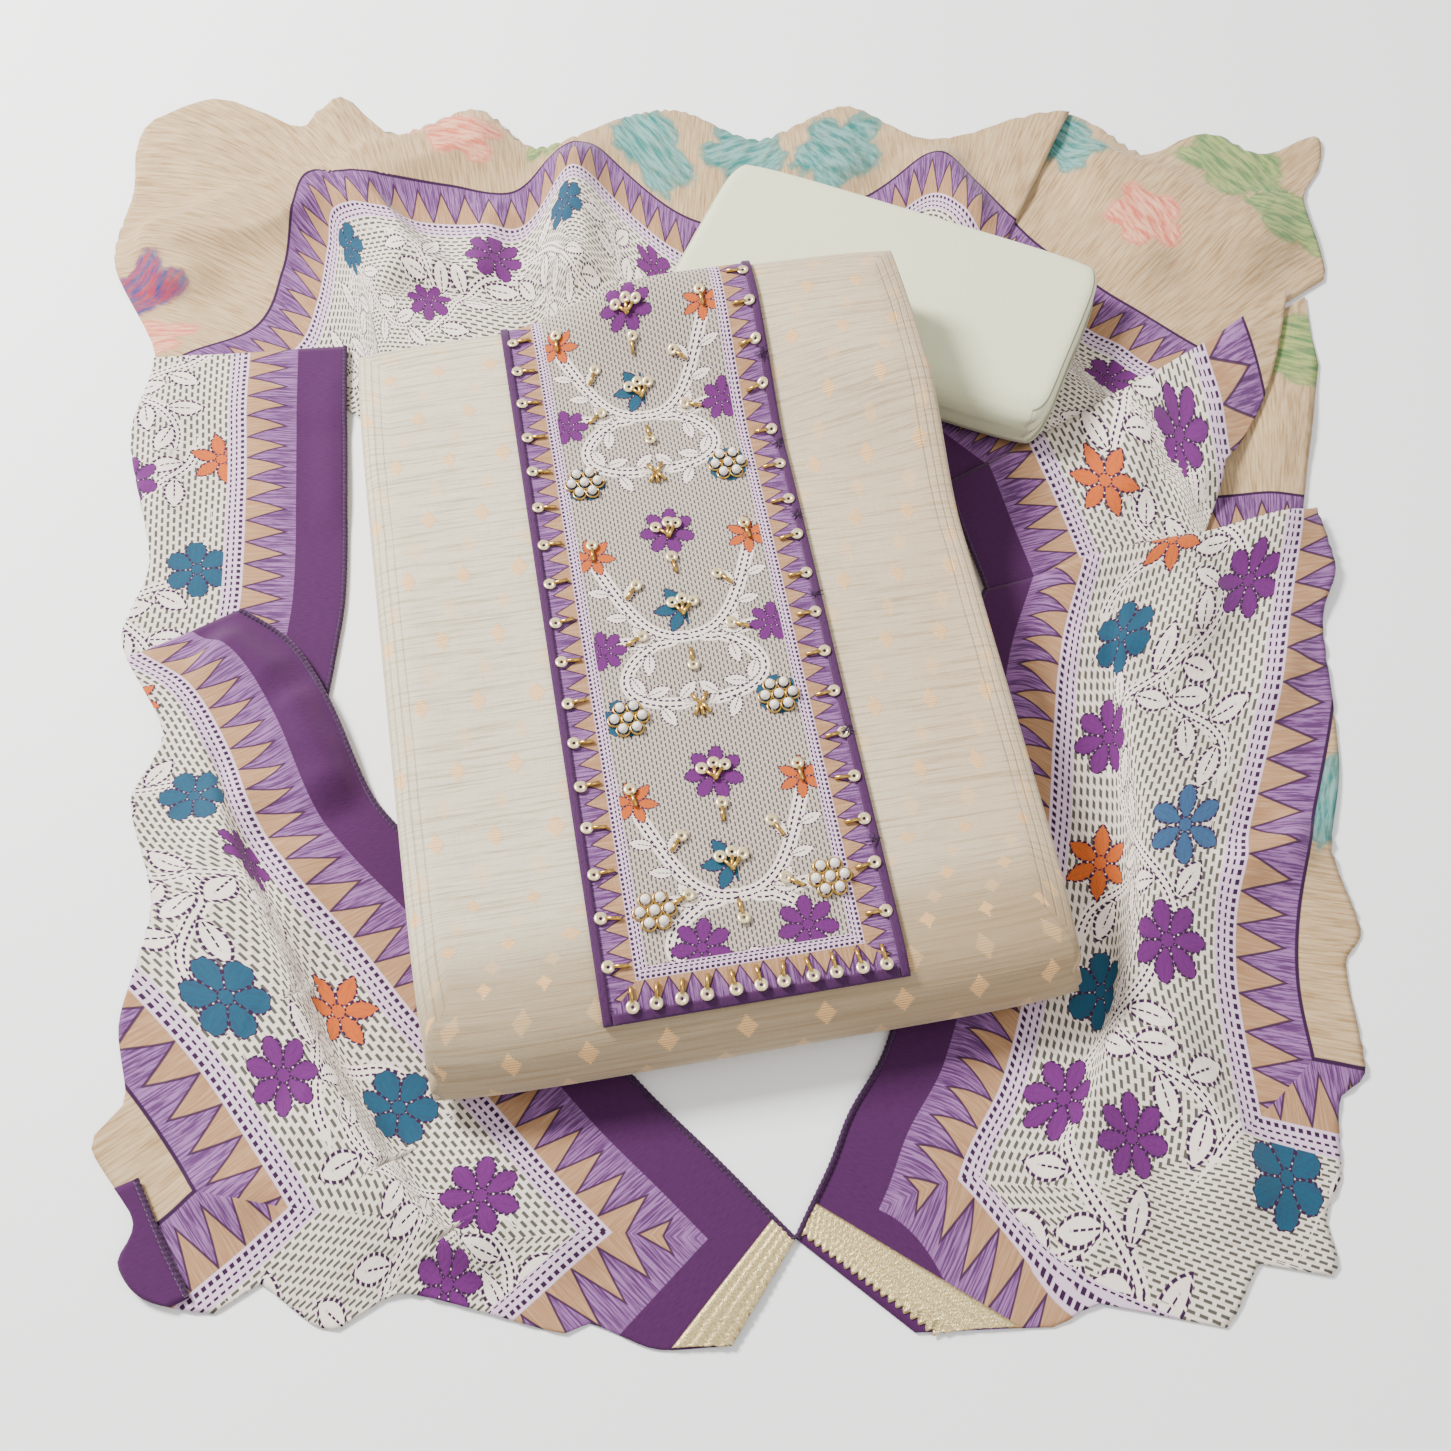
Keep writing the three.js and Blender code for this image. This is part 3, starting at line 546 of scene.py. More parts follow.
# Flowers of the border: distance in from the hem, distance along it, kind, turn in degrees, size.
# The soft blooms of the plain middle are the kinds from CORAL up.
PURPLE, TEAL, ORANGE, BLUE, LOTUS, CORAL, RIVER, NAVY, GREEN = range(9)
FLOWERS = {
    "dupatta_top_left": [
        (155, 170, TEAL, 10, 1.0), (155, 280, PURPLE, 30, 0.95), (113, 236, PURPLE, 0, 0.95),
        (152, 342, TEAL, 20, 1.0), (155, 421, PURPLE, 10, 0.9), (156, 587, PURPLE, 0, 0.9),
        (246, 411, RIVER, 20, 2.3), (268, 478, RIVER, -30, 2.0), (250, 542, RIVER, 60, 2.2),
        (284, 60, NAVY, 10, 1.8), (240, 26, CORAL, 40, 1.5), (250, 268, CORAL, 0, 1.6),
        (236, 330, GREEN, 30, 1.6),
    ],
    "dupatta_top_right": [
        (156, 139, PURPLE, 10, 1.0), (338, 92, GREEN, 20, 2.0), (326, 132, GREEN, -40, 1.7),
        (262, 82, CORAL, 20, 1.4), (284, 22, RIVER, 0, 1.5),
    ],
    "dupatta_left_side": [(68, 76, ORANGE, 12, 1.0), (78, 151, TEAL, 5, 1.0), (118, 92, PURPLE, 30, 1.0)],
    "dupatta_left_end": [
        (82, 320, TEAL, 0, 1.0), (78, 278, PURPLE, 40, 0.9), (84, 396, ORANGE, 20, 0.95),
        (151, 232, TEAL, 10, 1.0), (80, 208, ORANGE, 0, 1.0), (152, 196, PURPLE, 25, 0.9),
        (86, 160, TEAL, 15, 1.0), (84, 104, PURPLE, 10, 1.0), (126, 84, PURPLE, 35, 0.95),
    ],
    "dupatta_left_tip": [],
    "dupatta_right_side": [(150, 87, PURPLE, 20, 1.0), (83, 81, ORANGE, 0, 1.0)],
    "dupatta_right_plain": [(312, 71, GREEN, 15, 1.8), (262, 30, NAVY, 15, 1.2)],
    "dupatta_right_end": [
        (104, 345, ORANGE, 10, 1.0), (89, 300, TEAL, 5, 1.0), (154, 318, PURPLE, 0, 1.0),
        (82, 254, PURPLE, 15, 1.0), (148, 212, BLUE, 10, 1.0), (80, 196, ORANGE, 0, 1.0),
        (147, 160, PURPLE, 30, 1.0), (89, 138, TEAL, 12, 1.0), (82, 90, PURPLE, 0, 1.0),
        (122, 82, PURPLE, 22, 0.9), (190, 82, TEAL, 8, 1.0), (224, 228, RIVER, 8, 1.6),
    ],
}


def mesh_object(name, points, faces, material):
    """A new mesh object at the origin; points are in millimetres in the drawing frame."""
    mesh = bpy.data.meshes.new(name)
    spots = (np.asarray(points, float) - (*CENTRE, 0)) * MM
    mesh.from_pydata(spots.tolist(), [], faces if isinstance(faces, list) else faces.tolist())
    mesh.shade_smooth()
    mesh.materials.append(material)
    made = bpy.data.objects.new(name, mesh)
    bpy.context.scene.collection.objects.link(made)
    return made


def faces_of(rows, columns):
    i, j = np.meshgrid(np.arange(rows - 1), np.arange(columns - 1), indexing="ij")
    first = (i * columns + j).ravel()
    return np.stack([first, first + 1, first + columns + 1, first + columns], 1)


# Where the end's border lies on a stretch whose cloth fans out: distance along the hem, and in flat cloth.
END_PRINT = {"dupatta_right_end": [(0, 29), (34, 63), (93, 146), (125, 183), (400, 458)]}
FAR_ALONG = 420.0  # the stretches between the two ends start this far along the hem


def flat_layer(made, flat_places):
    """Keeps where each point lies in the flat cloth, in metres."""
    layer = made.data.uv_layers.new(name="flat")
    loops = np.empty(len(made.data.loops), int)
    made.data.loops.foreach_get("vertex_index", loops)
    layer.data.foreach_set("uv", (flat_places[loops] * MM).astype(np.float32).ravel())


def swept(start, start_pull, end_pull, end, steps=20):
    """Points along a smooth bend from one place to another."""
    t = np.linspace(0, 1, steps)[:, None]
    p = np.array((start, start_pull, end_pull, end), float)
    return (1 - t) ** 3 * p[0] + 3 * t * (1 - t) ** 2 * p[1] + 3 * t * t * (1 - t) * p[2] + t**3 * p[3]


def leaves_along(stem, gap, side, length, width, spread=0.85):
    """Leaves in turn on either side of a stem: x, y, turn, half length, half width and kind."""
    runs = np.concatenate([[0], np.cumsum(np.hypot(*np.diff(stem, axis=0).T))])
    leaves = []
    for place in np.arange(gap * 0.7, runs[-1] - gap * 0.3, gap):
        x, y = np.interp(place, runs, stem[:, 0]), np.interp(place, runs, stem[:, 1])
        ahead = (np.interp(place + 1, runs, stem[:, 0]) - x, np.interp(place + 1, runs, stem[:, 1]) - y)
        turn = math.atan2(ahead[1], ahead[0]) + side * spread
        reach = length * 0.5 + 2.4
        middle = (x + reach * math.cos(turn), y + reach * math.sin(turn))
        leaves.append((*middle, turn, length / 2, width / 2, 0))
        side = -side
    return leaves


def nearest_frame(corners, motifs):
    """Each face's corners in the frame of the motif nearest to it, with the motif's kind."""
    x, y, turn, wide, high, kind = np.array(motifs, float).T
    centres = np.stack([x, y], -1)
    c, s = np.cos(turn), np.sin(turn)
    offset = corners.mean(1)[:, None] - centres
    across = (offset[..., 0] * c + offset[..., 1] * s) / wide
    along = (offset[..., 1] * c - offset[..., 0] * s) / high
    near = np.hypot(across, along).argmin(1)
    offset = corners - centres[near][:, None]
    c, s, wide, high = (v[near][:, None] for v in (c, s, wide, high))
    across = (offset[..., 0] * c + offset[..., 1] * s) / wide
    along = (offset[..., 1] * c - offset[..., 0] * s) / high
    return np.stack([across, along, np.broadcast_to(kind[near][:, None], across.shape)], -1)


def nearest_stem(corners, stems):
    """Each face's corners as a signed distance from the nearest stem and a distance along that stem."""
    best = np.full(len(corners), 1e9)
    placed = np.zeros((*corners.shape[:2], 3))
    points = corners.reshape(-1, 2)
    for stem in stems:
        first, step = stem[:-1], np.diff(stem, axis=0)
        run = np.hypot(*step.T)
        before = np.concatenate([[0], np.cumsum(run)[:-1]])
        offset = points[:, None] - first
        t = np.clip((offset * step).sum(-1) / run**2, 0, 1)
        gap = offset - t[..., None] * step
        i = np.hypot(gap[..., 0], gap[..., 1]).argmin(1)
        row = np.arange(len(points))
        distance = np.hypot(*gap[row, i].T)
        side = np.sign(step[i, 0] * offset[row, i, 1] - step[i, 1] * offset[row, i, 0])
        found = np.stack([distance * side, before[i] + t[row, i] * run[i], 0 * distance], -1)
        found = found.reshape(placed.shape)
        middle = distance.reshape(-1, 4).mean(1)
        placed = np.where((middle < best)[:, None, None], found, placed)
        best = np.minimum(middle, best)
    return placed


def motif_layers(made, flat_places, flowers, leaves, stems):
    """Keeps, for each face, where it lies by the nearest flower, leaf and stem of the print."""
    loops = np.empty(len(made.data.loops), int)
    made.data.loops.foreach_get("vertex_index", loops)
    corners = flat_places[loops].reshape(-1, 4, 2)
    blooms = [(x, y, math.radians(turn), size, size, kind) for x, y, kind, turn, size in flowers]
    leaves = [
        leaf for leaf in leaves
        if all(math.hypot(leaf[0] - x, leaf[1] - y) > 15 * size + 7 for x, y, kind, turn, size in flowers)
    ]
    far = (1e4, 1e4, 0, 1, 1, 0)
    layers = {
        "bloom": nearest_frame(corners, blooms + [far]),
        "leaf": nearest_frame(corners, leaves + [far]),
        "stem": nearest_stem(corners, stems or [np.array([(1e4, 1e4), (2e4, 1e4)])]),
    }
    for name, values in layers.items():
        layer = made.data.attributes.new(name, "FLOAT_VECTOR", "CORNER")
        layer.data.foreach_set("vector", values.astype(np.float32).ravel())


# Where the border's bands start, in from the hem: teeth, rows, stitched field, rows again and teeth again.
TEETH_FROM, ROWS_FROM, FIELD_FROM, FIELD_TO, INNER_TEETH_FROM = 27.0, 54.0, 64.5, 169.5, 180.0
FIELD_MIDDLE = 117.0
VINE_TURN = 76  # length of one bend of the vine
LEAF_ROOM = 6.5  # leaves keep this far from the field's edges


def border_vines(name, length):
    """The stems that wind along the border's stitched field, and their leaves."""
    stems, leaves = [], []
    at_end = name.endswith("_end")
    for turn in range(int(length / VINE_TURN) + 1):
        low = VINE_TURN * turn + (22 if at_end else 0)
        side = 1 if turn % 2 else -1
        for bend in (((-34, -6), (-30, 30), (34, 30), (24, 68)), ((0, 26), (8, 4), (40, 16), (42, -12))):
            stems.append(swept(*((FIELD_MIDDLE + out * side, low + on) for out, on in bend)))
    if at_end:
        stems += [swept((low - 20, 82), (low, 120), (low + 10, 70), (low + 34, 126)) for low in (178, 232)]
    for turn, stem in enumerate(stems):
        leaves += leaves_along(stem, 12.5, 1 if turn % 2 else -1, 21, 10.4)
    low, high = FIELD_FROM + LEAF_ROOM, FIELD_TO - LEAF_ROOM
    return stems, [leaf for leaf in leaves if low < leaf[0] and (leaf[0] < high or at_end)]


def thicken(made, thickness):
    thick = made.modifiers.new("thickness", "SOLIDIFY")
    thick.thickness = thickness * MM
    thick.offset = -1.0
    thick.use_rim = True


def flat_area(made):
    """The area of the flat cloth, and its width and length, from where its points lie in it."""
    places = np.empty(2 * len(made.data.loops))
    made.data.uv_layers["flat"].data.foreach_get("uv", places)
    corners = places.reshape(-1, 4, 2)
    x, y = corners[..., 0], corners[..., 1]
    doubled = (x * np.roll(y, -1, 1) - np.roll(x, -1, 1) * y).sum(1)
    return abs(doubled).sum() / 2, np.ptp(x), np.ptp(y)


def cloth_sheet(made):
    area, width, length = (float(value) for value in flat_area(made))
    area = min(area, width * length)


def facing_up(points, faces):
    """The faces, turned over if they face down."""
    first, second, third = points[faces[0][0]], points[faces[0][1]], points[faces[0][2]]
    return faces[:, ::-1] if np.cross(second - first, third - first)[2] < 0 else faces


def carried(made, node=None):
    """Fixes a piece to the set's one body; a cloth also takes the place of its plain solid."""
    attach(made, "root")
    if node:
        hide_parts(node)


def stretch_object(name, material):
    stretch = STRETCHES[name]
    x, y, z, a, b = stretch.grid(STITCH)
    lift = stretch.lift(x, y, np.minimum(b, stretch.length))
    z = np.minimum(z, lift + 0.6 + 14 * ease(rim_distance(x, y) / 9))
    points = np.stack([x, y, z], -1).reshape(-1, 3)
    made = mesh_object(name + "_cloth", points, facing_up(points, faces_of(*x.shape)), material)
    spots = np.stack([a.ravel(), b.ravel()], 1)
    stems, leaves = border_vines(name, stretch.length)
    motif_layers(made, spots, FLOWERS[name], leaves, stems)
    if name in END_PRINT:
        eased = ease((spots[:, 0] - 30) / 90)  # the hem itself stays where it is
        spots[:, 1] += (np.interp(spots[:, 1], *zip(*END_PRINT[name])) - spots[:, 1]) * eased
    if not name.endswith("_end"):
        spots[:, 1] += FAR_ALONG
    flat_layer(made, spots)
    thicken(made, CLOTH)
    cloth_sheet(made)
    carried(made, name)


def feed(surface, socket, wire):
    surface.id_data.links.new(wire.socket, surface.inputs[socket])


def bumped(surface, height, strength, distance):
    """Feeds a height through a Bump node to the surface's normal."""
    values = {"Height": height, "Strength": strength, "Distance": distance}
    feed(surface, "Normal", height.node("ShaderNodeBump", values=values))


def hexed(code):
    """A colour code as linear light."""
    channels = [int(code[i : i + 2], 16) / 255 for i in (0, 2, 4)]
    return tuple(c / 12.92 if c <= 0.04045 else ((c + 0.055) / 1.055) ** 2.4 for c in channels)


BAND = hexed("451A49")
BAND_DEEP = hexed("2C0E30")
LILAC = hexed("522E5C")
LILAC_PALE = hexed("895E92")
TAN = hexed("98704F")
TAN_PALE = hexed("B99776")
INK = hexed("2E1034")
GROUND = hexed("DDD3C7")
KANTHA = hexed("292A25")
CREAM = hexed("E6D9CE")
ROW_GROUND = hexed("CDB4CB")
PLAIN = hexed("967650")
PLAIN_PALE = hexed("C6AC87")


def repeat(value, period):
    """0 to 1 over each repeat."""
    return (value / period).math("FRACT")


def stitched(value, period, share, soft=0.06):
    """1 through the middle of each repeat, for a line of separate stitches."""
    return abs(repeat(value, period) - 0.5).below(share, soft)


def zigzag(colour, depth, along, width, pitch):
    """Streaked lilac teeth on tan: depth runs from the teeth's feet to their points."""
    rise = 1 - abs(repeat(along, pitch) * 2 - 1)
    edge = depth / width - 0.2 - 0.78 * rise
    streak = (along * 1.1).joined(depth * 0.05).noise(3, 0.65)
    fine = (along * 0.35).joined(depth * 0.02, 5.0).noise(2)
    teeth_colour = colour.plain(LILAC).painted(streak.above(0.5, 0.09), LILAC_PALE)
    teeth_colour = teeth_colour.painted(fine.above(0.62, 0.06) * 0.5, INK)
    tan_colour = colour.plain(TAN).painted(streak.above(0.55, 0.2) * 0.7, TAN_PALE)
    band = tan_colour.painted(edge.below(0, 0.02), teeth_colour)
    return band.painted(abs(edge).below(0.055, 0.02) * 0.9, INK)


def dashes(across, along, row_gap, dash_gap, width, length, soft=0.12):
    """Running stitches in staggered rows."""
    row = (across / row_gap).math("FLOOR")
    shift = repeat(row * 0.5, 1.0) * dash_gap
    u = abs(repeat(along + shift, dash_gap) - 0.5) * dash_gap
    v = abs(repeat(across, row_gap) - 0.5) * row_gap
    return u.below(length / 2, soft) * v.below(width / 2, soft)


FLOWER_COLOURS = {
    PURPLE: "5E1F63", TEAL: "194860", ORANGE: "B9591F", BLUE: "33557A", LOTUS: "194A60",
    CORAL: "C7604C", RIVER: "1F6A66", NAVY: "2E3A70", GREEN: "4C7348",
}
BLOOM_SECONDS = {CORAL: "E3A98C", RIVER: "6E9C98", NAVY: "9C2C40", GREEN: "94A35E"}


def attribute(wire, name):
    return wire.node("ShaderNodeAttribute", {"attribute_name": name}, out=1).parts()


def by_kind(kind, codes):
    """The colour of a flower from its kind."""
    chosen = kind.plain(hexed(codes[min(codes)]))
    for number in sorted(codes)[1:]:
        chosen = chosen.painted(kind.above(number - 0.5, 0.01), hexed(codes[number]))
    return chosen


def with_leaves(ground):
    """Cream leaves and double-stitched stems, outlined in short dashes, laid over the ground."""
    across, along, _ = attribute(ground, "stem")
    beat = stitched(along, 3.0, 0.31)
    drawn = ground.painted(abs(across).below(3.3, 0.3), CREAM)
    drawn = drawn.painted(abs(abs(across) - 1.45).below(0.52, 0.15) * beat, INK)
    x, y, _ = attribute(ground, "leaf")
    edge = 1 - x * x - abs(y)
    beat = stitched(x * 9.5, 2.7, 0.36)
    drawn = drawn.painted(edge.above(-0.12, 0.06), CREAM)
    drawn = drawn.painted(abs(edge).below(0.15, 0.05) * beat, INK)
    return drawn.painted(abs(y).below(0.09, 0.03) * edge.above(0.12, 0.05) * beat * x.below(0.35, 0.1), INK)


DISC = 3.3  # radius of a flower's middle


def with_flowers(ground):
    """Flowers of six or seven separate petals round a small disc, outlined in short dashes."""
    x, y, kind = attribute(ground, "bloom")
    r = (x * x + y * y) ** 0.5
    theta = y.math("ARCTAN2", x)
    seven = kind.below(0.5, 0.01)
    pointed = kind.within(1.5, 2.5, 0.01).high(kind.within(3.5, 4.5, 0.01))
    heart = kind.within(0.5, 1.5, 0.01)
    wedge = (seven + 6) ** -1.0 * (2 * math.pi)
    phi = ((theta / wedge).math("FRACT") - 0.5) * wedge
    out = r * phi.math("COSINE")
    aside = abs(r * phi.math("SINE"))
    t = ((out - 1.4) / 16.6).high(0.0).low(1.0)
    swell = (t ** (1.5 - pointed * 0.5) * math.pi).math("SINE").high(0.0) ** (0.62 + pointed * 0.3)
    width = (4.5 + heart * 1.1 - pointed * 0.4) * swell
    wavy = (out * 1.9).math("SINE") * 0.22
    notch = (out - 15.0 - aside * 0.8).high(0.0) * heart * 1.8
    edge = (width + wavy - aside - notch).low(18.2 - r)
    petal = edge.above(0.0, 0.12)
    disc = r.below(DISC, 0.12)
    fan = kind.within(3.5, 4.5, 0.01) * y.below(-2.5, 0.3)
    border_kind = kind.below(4.5, 0.01) * (1 - fan)
    colour_here = by_kind(kind, FLOWER_COLOURS)
    shade = (out * 0.12).joined(aside * 0.9, phi).noise(2)
    colour_here = colour_here.painted(shade.above(0.55, 0.15) * 0.22, INK)
    beat = stitched(out, 2.6, 0.36)
    drawn = ground.painted(petal.high(disc) * border_kind, colour_here)
    ring_beat = stitched(theta, 0.62, 0.34)
    petal_rims = abs(edge).below(0.55, 0.15) * out.above(DISC + 0.1, 0.3) * beat
    disc_rims = abs(r - DISC).below(0.4, 0.12) * ring_beat
    return drawn.painted(petal_rims.high(disc_rims) * border_kind, INK)


def with_blooms(ground):
    """Soft washes of colour in the shape of loose flowers and leaves."""
    x, y, kind = attribute(ground, "bloom")
    r = (x * x + y * y) ** 0.5
    petals = abs((y.math("ARCTAN2", x) * 2.5).math("COSINE"))
    drift = (x * 0.16).joined(y * 0.16, kind).noise(3, 0.6)
    spread = r + (drift - 0.5) * 11 - petals * 4.5
    soft_kind = kind.above(4.5, 0.01)
    wash = spread.below(10.5, 2.2) * (0.6 + drift * 0.7) * soft_kind
    first = by_kind(kind, FLOWER_COLOURS)
    second = by_kind(kind, BLOOM_SECONDS)
    streaks = (x * 0.5).joined(y * 0.12).noise(3, 0.6)
    mixed = first.painted(streaks.above(0.5, 0.14), second)
    drawn = ground.painted(wash.low(1.0).high(0.0), mixed)
    rims = spread.within(9.2, 10.6, 0.5) * streaks.above(0.5, 0.1)
    return drawn.painted(rims * soft_kind * 0.5, first)


def in_flat_cloth(wire):
    """Where the place lies in the flat cloth, in millimetres."""
    across, along, _ = wire.node("ShaderNodeUVMap", {"uv_map": "flat"}).scaled(1000.0).parts()
    return across, along


printed, printed_surface, start = finish("dupatta_print", roughness=0.85, sheen=0.15, specular=0.2)
a, b = in_flat_cloth(start)
# The border across an end is narrower: its field starts at 63 and is 83 wide.
END_FIELD_FROM, END_FIELD_WIDTH = 63.0, 83.0
end = b.low(END_FIELD_FROM) + 1.5 * b.above(END_FIELD_FROM, 1)
end += (b - END_FIELD_FROM).high(0).low(END_FIELD_WIDTH) * ((FIELD_TO - FIELD_FROM) / END_FIELD_WIDTH)
end += (b - (END_FIELD_FROM + END_FIELD_WIDTH)).high(0) * 1.07
d = a.low(end)
along_end = (end - a).below(0, 0.01)
s = b + (a - b) * along_end
slub = (a * 0.05).joined(b * 0.9).noise(3, 0.6)
slub_fine = (a * 0.25).joined(b * 4.0).noise(2, 0.6)
weave = (a * 6.0).joined(b * 0.3).noise(1)
paper = start.plain(GROUND).painted(slub.above(0.55, 0.12) * 0.35, TAN_PALE)
band = paper.plain(BAND).painted(slub_fine.above(0.55, 0.2) * 0.6, BAND_DEEP)
outer_zigzag = zigzag(paper, d - TEETH_FROM, s, ROWS_FROM - TEETH_FROM, 14.0)
inner_zigzag = zigzag(paper, PLAIN_FROM - d, s, PLAIN_FROM - INNER_TEETH_FROM, 14.0)
rows = paper.plain(ROW_GROUND)
ROW_GAP = 3.6
for centre, width, length in ((56.3, 2.0, 2.1), (59.6, 1.1, 2.2), (62.6, 1.1, 2.2)):
    u = abs(repeat(s + centre, ROW_GAP) - 0.5) * ROW_GAP
    for place in (centre, 2 * FIELD_MIDDLE - centre):
        rows = rows.painted(u.below(length / 2, 0.15) * abs(d - place).below(width / 2, 0.15), INK)
kantha = dashes(d, s, 3.2, 5.6, 1.5, 3.8)
field = with_flowers(with_leaves(paper.painted(kantha * 0.92, KANTHA)))
plain = with_blooms(paper.plain(PLAIN).painted(slub.above(0.47, 0.2) * 0.85, PLAIN_PALE))
colour = band
for band_from, band_colour in (
    (TEETH_FROM, outer_zigzag), (ROWS_FROM, rows), (FIELD_FROM, field), (FIELD_TO, rows),
    (INNER_TEETH_FROM, inner_zigzag), (PLAIN_FROM, plain),
):
    colour = colour.painted(d.above(band_from, 0.25), band_colour)
colour = colour.painted(abs(d - PLAIN_FROM).below(0.9, 0.3), INK)
feed(printed_surface, "Base Color", colour)
pressed = kantha * 0.3 * d.within(FIELD_FROM, FIELD_TO)
bumped(printed_surface, slub * 0.5 + slub_fine * 0.3 + weave * 0.2 - pressed, 0.35, 0.0006)


ROLL_INSET, ROLL_RADIUS, ROLL_SIDES, WHIP_PITCH = 0.6, 1.25, 10, 2.6


def hem_roll(name):
    """The hem's roll, whipped round with thread: it follows the edge, and is drawn in under each stitch."""
    stretch = STRETCHES[name]
    b = np.arange(0.5, stretch.length - 0.5, 0.55)
    x, y = stretch.place(b, 0 * b + ROLL_INSET)
    z = stretch.height(b, 0 * b + ROLL_INSET) + 0.3
    spine = np.stack([x, y, z], -1)
    ahead = np.gradient(spine, axis=0)
    ahead /= np.linalg.norm(ahead, axis=1, keepdims=True)
    aside = np.cross(ahead, (0, 0, 1))
    aside /= np.linalg.norm(aside, axis=1, keepdims=True)
    above = np.cross(aside, ahead)
    angle = np.arange(ROLL_SIDES) * 2 * math.pi / ROLL_SIDES
    slant = b[:, None] + 0.9 * np.sin(angle)
    size = ROLL_RADIUS * (0.8 + 0.3 * np.abs(np.sin(slant * math.pi / WHIP_PITCH)))[..., None]
    ring = aside[:, None] * np.cos(angle)[:, None] + above[:, None] * np.sin(angle)[:, None]
    points = (spine[:, None] + size * ring).reshape(-1, 3)
    i, j = np.meshgrid(np.arange(len(b) - 1) * ROLL_SIDES, np.arange(ROLL_SIDES), indexing="ij")
    after = (j + 1) % ROLL_SIDES
    faces = np.stack([i + j, i + after, i + ROLL_SIDES + after, i + ROLL_SIDES + j], -1)
    faces = faces.reshape(-1, 4).tolist()
    faces += [list(range(ROLL_SIDES)), list(range(len(points) - ROLL_SIDES, len(points)))[::-1]]
    carried(mesh_object(name + "_hem", points, faces, hem_thread))


def speckle(wire, scale, detail):
    """Fine uneven colour through a piece that has no flat cloth."""
    return wire.node("ShaderNodeTexCoord", out=3).scaled(scale).noise(detail)


hem_thread, hem_surface, start = finish("hem_thread", roughness=0.8, sheen=0.2, specular=0.25)
strands = speckle(start, 1400.0, 3)
feed(hem_surface, "Base Color", start.plain(BAND_DEEP).painted(strands.above(0.56, 0.1) * 0.5, LILAC))
bumped(hem_surface, strands, 0.5, 0.0003)

for stretch_name in STRETCHES:
    stretch_object(stretch_name, printed)
    if not STRETCHES[stretch_name].start:
        hem_roll(stretch_name)

# --------------------------------------------------------------------------------------------------
# Kameez: the shirt's cloth, a beige slub silk with small woven gold motifs, folded many times into a block.
# Its front edge is the smooth outer fold, and the other sides show the edges of the layers.
# --------------------------------------------------------------------------------------------------


def smooth_rows(rows, count):
    """More rows on a smooth curve through a table's rows."""
    rows = np.array(rows, float)
    t = np.linspace(0, len(rows) - 1, count)
    i = np.clip(t.astype(int), 0, len(rows) - 2)
    s = (t - i)[:, None]
    padded = np.vstack([2 * rows[0] - rows[1], rows, 2 * rows[-1] - rows[-2]])
    p0, p1, p2, p3 = padded[i], padded[i + 1], padded[i + 2], padded[i + 3]
    m1, m2 = (p2 - p0) / 2, (p3 - p1) / 2
    return hermite(s, p1, p2, m1, m2)


class Folded:
    """A folded garment: rings go from the underside up, each with a height and side and front draw-ins."""

    def __init__(self, garment, straight, rings, softness, lifted, waves, ring_count):
        self.garment, self.straight, self.softness = garment, straight, softness
        self.lifted, self.waves = lifted, waves
        self.rings = smooth_rows(rings, ring_count)
        steps = np.hypot(np.diff(self.rings[:, 0]), np.diff(self.rings[:, 2]))
        self.down = np.concatenate([np.cumsum(steps[::-1])[::-1], [0]])

    def point(self, ring, x, y):
        """The place on a ring, given as a fraction of the rings, of a column x and row y of the block."""
        g = self.garment
        levels = np.arange(len(self.rings))
        z, side, front = (np.interp(ring, levels, self.rings[:, c]) for c in range(3))
        far = g["half_length"] * 0.6
        x_in = np.clip((np.abs(x) - self.straight) / (g["half_width"] - self.straight), 0, 1)
        y_in = np.clip((np.abs(y) - far) / (g["half_length"] - far), 0, 1)
        dx = x - np.sign(x) * side * x_in
        dy = y - np.sign(y) * np.where(y < 0, front, side) * y_in
        corner = 1 - self.softness * (np.abs(x / g["half_width"]) * np.abs(y / g["half_length"])) ** 6
        px, py = dx * corner, dy * corner
        c, s = math.cos(g["turn"]), math.sin(g["turn"])
        wx, wy = g["x"] + px * c - py * s, g["y"] + px * s + py * c
        top = np.clip((ring - levels[-1] + 6) / 6, 0, 1)
        wz = g["base"] + z + self.lifted(wx, wy) + self.waves(px, py) * top
        return np.stack([wx, wy, wz], -1)


